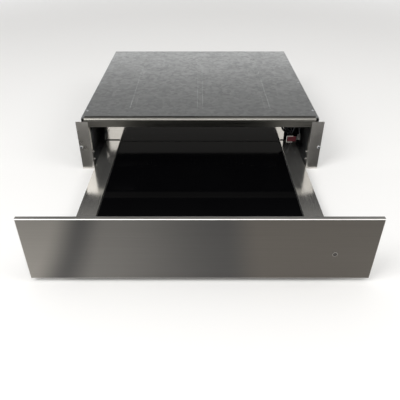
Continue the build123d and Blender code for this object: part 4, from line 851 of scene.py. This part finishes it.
def front_finish_with_painted_light():
    """Painted reflection bands under fine level lines, a painted highlight on the edges and lighter bent
    faces.
    """
    material, tree, shader = new_finish("brushed_stainless_front", "#66645f", Metallic=1.0)
    reach, _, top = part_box("front_shell")[1]
    place = add_node(tree, "ShaderNodeTexCoord")
    axes = add_node(tree, "ShaderNodeSeparateXYZ", links={0: place.outputs["Object"]})
    below_top = add_node(tree, "ShaderNodeMath", {0: top}, {1: axes.outputs["Z"]}, operation="SUBTRACT")
    narrowing = add_node(tree, "ShaderNodeMath", {1: -REFLECTION_FAN, 2: 1.0}, {0: below_top.outputs[0]},
                         operation="MULTIPLY_ADD")
    across = add_node(tree, "ShaderNodeMath", links={0: axes.outputs["X"], 1: narrowing.outputs[0]},
                      operation="MULTIPLY")
    share_across = span(tree, across.outputs[0], 0.0, 1.0, -reach, reach)
    # Painted reflections: upright bands of darker and lighter tone across the front face.
    ramp = add_node(tree, "ShaderNodeValToRGB", links={0: share_across})
    ramp.color_ramp.interpolation = "EASE"
    stops = ramp.color_ramp.elements
    for index, (share, tone) in enumerate(BANDS):
        stop = stops[index] if index < 2 else stops.new(share)
        stop.position = share
        stop.color = linear(tone)
    brushing = add_node(tree, "ShaderNodeTexNoise", {"Scale": 1.0, "Detail": 4.0},
                        {"Vector": object_place(tree, (ALONG_BRUSH, ALONG_BRUSH, 1 / BRUSH_LINE))})
    brush_tone = blend_tones(tree, brushing.outputs[0], "#e2e2e2", "#ffffff")
    shade = add_node(tree, "ShaderNodeMix", data_type="RGBA", blend_type="MULTIPLY",
                     links={6: ramp.outputs[0], 7: brush_tone})
    shade.inputs[0].default_value = 1.0
    # Painted highlight: the colour grows lighter towards the lower edge, most at the left end.
    gain_at_foot = span(tree, axes.outputs["X"], *FOOT_HIGHLIGHT_GAIN, -reach, reach)
    foot = add_node(tree, "ShaderNodeMapRange", {1: 0.0, 2: FOOT_HIGHLIGHT_DROP, 3: 1.0},
                    {0: below_top.outputs[0], 4: gain_at_foot})
    with_foot_highlight = add_node(tree, "ShaderNodeVectorMath", operation="SCALE",
                      links={0: shade.outputs[2], "Scale": foot.outputs[0]})
    facing = add_node(tree, "ShaderNodeSeparateXYZ", links={0: place.outputs["Normal"]})
    upwards = add_node(tree, "ShaderNodeMath", links={0: facing.outputs["Z"]}, operation="ABSOLUTE")
    sideways = add_node(tree, "ShaderNodeMath", links={0: facing.outputs["X"]}, operation="ABSOLUTE")
    end_edge = add_node(tree, "ShaderNodeMath", {1: END_EDGE_HIGHLIGHT}, {0: sideways.outputs[0]},
                        operation="MULTIPLY")
    tilt = add_node(tree, "ShaderNodeMath", links={0: upwards.outputs[0], 1: end_edge.outputs[0]},
                    operation="MAXIMUM")
    # Painted highlight along the rounded edges, in a near white tone.
    edge_highlight = add_node(tree, "ShaderNodeMix", data_type="RGBA",
                     links={0: span(tree, tilt.outputs[0], 0.0, 1.0, *HIGHLIGHT_LEAN), 6: with_foot_highlight.outputs[0]})
    edge_highlight.inputs[7].default_value = linear("#f6f4f0")
    # Painted reflection: the flat top, bottom and end faces take a lighter tone than the front face.
    level = add_node(tree, "ShaderNodeMath", links={0: upwards.outputs[0], 1: sideways.outputs[0]},
                     operation="MAXIMUM")
    folded = add_node(tree, "ShaderNodeMix", data_type="RGBA",
                      links={0: span(tree, level.outputs[0], 0.0, 1.0, *FLAT_FACE_LEAN), 6: edge_highlight.outputs[2]})
    folded.inputs[7].default_value = linear("#aaa8a4")
    tree.links.new(folded.outputs[2], shader.inputs["Base Color"])
    tree.links.new(span(tree, brushing.outputs[0], 0.3, 0.42, from_low=0.3, from_high=0.7),
                   shader.inputs["Roughness"])
    relief(tree, shader, brushing.outputs[0], BRUSH_DEPTH)
    return material


dress(front_finish_with_painted_light(), "front_shell")


# ---------------------------------------------------------------- rubber
# Four buffers quieten the front against the flanges, and a black silicone bead seals the glass in the
# deck. Both are matt, with the bloom that rubber takes.
BLOOM = 120.0                 # patches of about 8 mm: so many in a metre


def rubber():
    """All but black and matt, with a faint grey bloom in patches."""
    material, tree, shader = new_finish("black_silicone_rubber", "#131313", Roughness=0.7)
    bloom = mottle(tree, shader, "#0c0c0c", "#1d1d1d", BLOOM, detail=5.0)
    tree.links.new(span(tree, bloom, 0.6, 0.82), shader.inputs["Roughness"])
    return material


dress(rubber(), "front_buffers", "glass_gasket")


# ---------------------------------------------------------------- status lens
# A small round lens set in a turned ring near the right end of the front. The ring is polished, the
# lens is smoked polycarbonate over the lamp behind it.
TURNING_MARKS = 1500.0        # of about 0.7 mm: so many in a metre
LENS_HAZE = 300.0             # likewise, of about 3 mm
ring_metal, ring_tree, ring_shader = new_finish("turned_stainless_ring", "#83807b", Metallic=1.0)
ring_lines = add_node(ring_tree, "ShaderNodeTexNoise", {"Scale": TURNING_MARKS, "Detail": 2.0},
                      {"Vector": object_place(ring_tree)})
ring_tree.links.new(span(ring_tree, ring_lines.outputs[0], 0.16, 0.3), ring_shader.inputs["Roughness"])
dress(ring_metal, "status_bezel")
smoked_lens, lens_tree, lens_shader = new_finish("smoked_polycarbonate", "#2b2624", Roughness=0.12)
mottle(lens_tree, lens_shader, "#221d1b", "#34302d", LENS_HAZE, detail=2.0)
dress(smoked_lens, "status_lens")


# ---------------------------------------------------------------- glass floor
# Black glass ceramic, four millimetres thick, laid in the deck over the heater. It is ground on its
# edges and fire polished on top, so it is all but black with a faint gleam.
SMEARS = 11.0                 # where it was wiped, about 90 mm across: so many in a metre
GLASS_GLEAM = 0.03            # bare glass takes 0.5; this little keeps the white studio out of it


def black_glass():
    """Deep black with a faint gleam, duller where it was wiped."""
    material, tree, shader = new_finish("black_glass_ceramic", "#050506", Roughness=0.05)
    shader.inputs["Specular IOR Level"].default_value = GLASS_GLEAM
    smears = mottle(tree, shader, "#040405", "#070708", SMEARS)
    tree.links.new(span(tree, smears, 0.04, 0.09), shader.inputs["Roughness"])
    return material


dress(black_glass(), "glass_plate")


# ---------------------------------------------------------------- heater and blanket
# Under the glass lie a heater of aluminium foil round its winding and a blanket of mineral fibre that
# keeps the heat off the tray.
CRINKLES, CRINKLE_DEPTH = 160.0, 0.0003      # of about 6 mm: so many in a metre, and how deep
FIBRES, FIBRE_DEPTH = 220.0, 0.001           # likewise, tufts of about 5 mm
FIBRE_STRETCH = (1.0, 0.3, 1.0)              # tufts lie along Y


def crinkled_foil():
    """Bright metal whose crinkles break up what it mirrors."""
    material, tree, shader = new_finish("aluminium_foil", "#d2d3d5", Metallic=1.0, Roughness=0.3)
    crinkles = mottle(tree, shader, "#c0c1c3", "#dfe0e2", CRINKLES, detail=5.0)
    relief(tree, shader, crinkles, CRINKLE_DEPTH)
    return material


def mineral_fibre():
    """Straw coloured and matt, with tufts that lie one way."""
    material, tree, shader = new_finish("mineral_fibre", "#d8cfae", Roughness=0.95)
    fibres = add_node(tree, "ShaderNodeTexNoise", {"Scale": FIBRES, "Detail": 8.0, "Roughness": 0.7},
                      {"Vector": object_place(tree, FIBRE_STRETCH)})
    tree.links.new(blend_tones(tree, fibres.outputs[0], "#b5aa84", "#e6dfc4"), shader.inputs["Base Color"])
    relief(tree, shader, fibres.outputs[0], FIBRE_DEPTH)
    return material


dress(crinkled_foil(), "heating_element")
dress(mineral_fibre(), "insulation_blanket")


# ---------------------------------------------------------------- control board
# A glass fibre board under the control case, with the switch for the button. Its green solder mask
# lets the weave show faintly.
WEAVE = 400.0                 # of 2.5 mm: so many in a metre


def solder_mask():
    """Green lacquer, a little lighter over the weave."""
    material, tree, shader = new_finish("green_solder_mask", "#1f5a36", Roughness=0.35)
    mottle(tree, shader, "#184a2b", "#27683f", WEAVE, detail=2.0)
    return material


dress(solder_mask(), "control_board")
